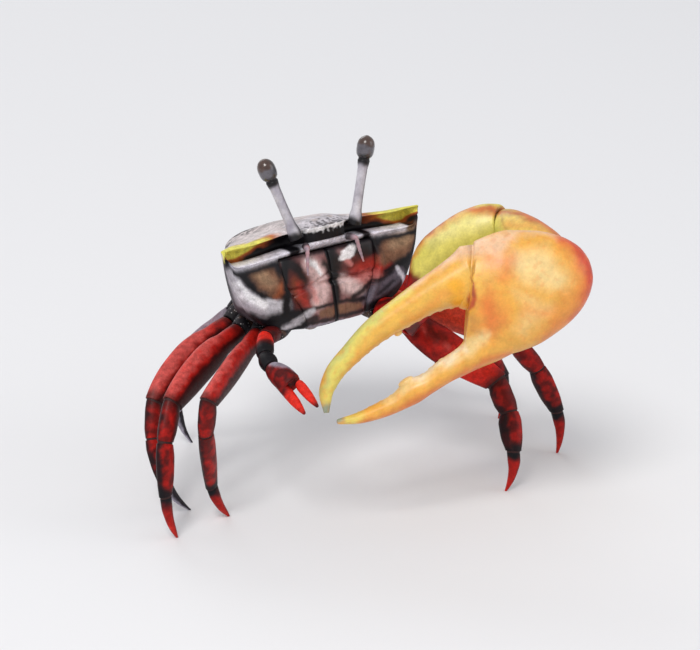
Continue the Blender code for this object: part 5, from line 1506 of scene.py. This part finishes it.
def small_claw_colours(kind, base, points, start, way, up_way):
    """Dark article; the merus is bright at its root and the palm pale above, with a bright finger."""
    colours = over(plain(points, base), BLACK, 0.5 * patches(points, 0.9, 3.0, 0, 0.5))
    if kind == "merus":
        run = (points - start) @ way + 0.5 * rough(points, 0.9, 7.0)
        return layers(colours, (DARK_RED, fall(run, 2.6, 3.8)), (SCARLET, fall(run, 1.6, 2.8)))
    if kind != "palm":
        return colours
    forward = (points - SMALL_KNUCKLE) @ way
    slope = forward - 1.2 * (points - SMALL_KNUCKLE) @ up_way + 0.5 * rough(points, 1, 2.0)
    return layers(colours, (RED, 0.5 * patches(points, 0.8, 12.0, -0.2, 0.4)),
                  (LILAC, 0.9 * fall(slope, -3.6, -2.6)),
                  (SCARLET, ramp(forward, 0.0, 1.2)),
                  (DARK_RED, ramp(forward, 4.4, 5.6)))


def build_small_claw():
    place, _, up_way = minor_root()[:3]
    joints = [place, *SMALL_ARM, SMALL_KNUCKLE]
    ways, cuts = limb_ways(joints)
    fingers_way = unit((SMALL_TIP_UPPER + SMALL_TIP_LOWER) / 2 - SMALL_KNUCKLE)
    spread = unit(SMALL_TIP_UPPER - SMALL_TIP_LOWER)
    thin = unit(np.cross(fingers_way, spread))
    along = ways[-1]
    finger = dict(around=SMALL_FINGER_AROUND, rows=40, gap_end=0.0, rim=0.15)
    shapes = (("coxa", SMALL_COXA, DARK_RED), ("merus", SMALL_MERUS, BLACK),
              ("carpus", SMALL_CARPUS, BLACK), ("palm", SMALL_PALM, DARK_RED))
    sleeves, edge = [], None
    for i, (kind, profile, base) in enumerate(shapes):
        rings, _ = article_rows(joints[i], joints[i + 1], profile, cuts[i], cuts[i + 1],
                                up_way if i == 0 else thin, rows=30, rim=0.18)
        parts = [skin(with_sockets(rings, 0.4))]
        if kind == "palm":
            start = SMALL_KNUCKLE - spread * SMALL_FINGER_SPREAD - along * 2.2
            fixed, _ = article_rows(start, SMALL_TIP_LOWER, SMALL_FIXED, along, fingers_way, thin,
                                    gap_start=0.0, **finger)
            parts.append(skin(fixed))
        points, faces = joined(parts)
        colours = small_claw_colours(kind, base, points, joints[i], ways[i], spread)
        painted("small_" + kind, points, faces, colours, LEG_SHELL, "small_claw_red", "minor_" + kind)
        if edge is not None:
            sleeves.append(skin(membrane_rows(edge, rings[0], reach=0.4)))
        edge = rings[-1]
    start = SMALL_KNUCKLE + spread * SMALL_FINGER_SPREAD
    rings, shares = article_rows(start, SMALL_TIP_UPPER, SMALL_MOVING, along, fingers_way, thin, **finger)
    points, faces = skin(rings)
    share = along_skin(shares, SMALL_FINGER_AROUND)
    colours = over(plain(points, SCARLET), DARK_RED, ramp(share, 0.75, 1.0))
    painted("small_moving_finger", points, faces, colours, LEG_SHELL, "small_claw_red", "minor_dactyl")
    finish(mesh_object("joint_skin_small_claw", *joined(sleeves)), SOFT_SKIN, "small_claw_red")


leg_roots = [leg_root(side, number) for side in SIDES for number in LEG_SIZES]
build_thorax(leg_roots + [major_root(), minor_root()])
build_flap()
build_mouth()
build_eyes()
build_feelers()
for side_name in SIDES:
    for leg_number in LEG_SIZES:
        build_leg(side_name, leg_number)
build_palm()
build_moving_finger()
build_large_arm()
build_small_claw()
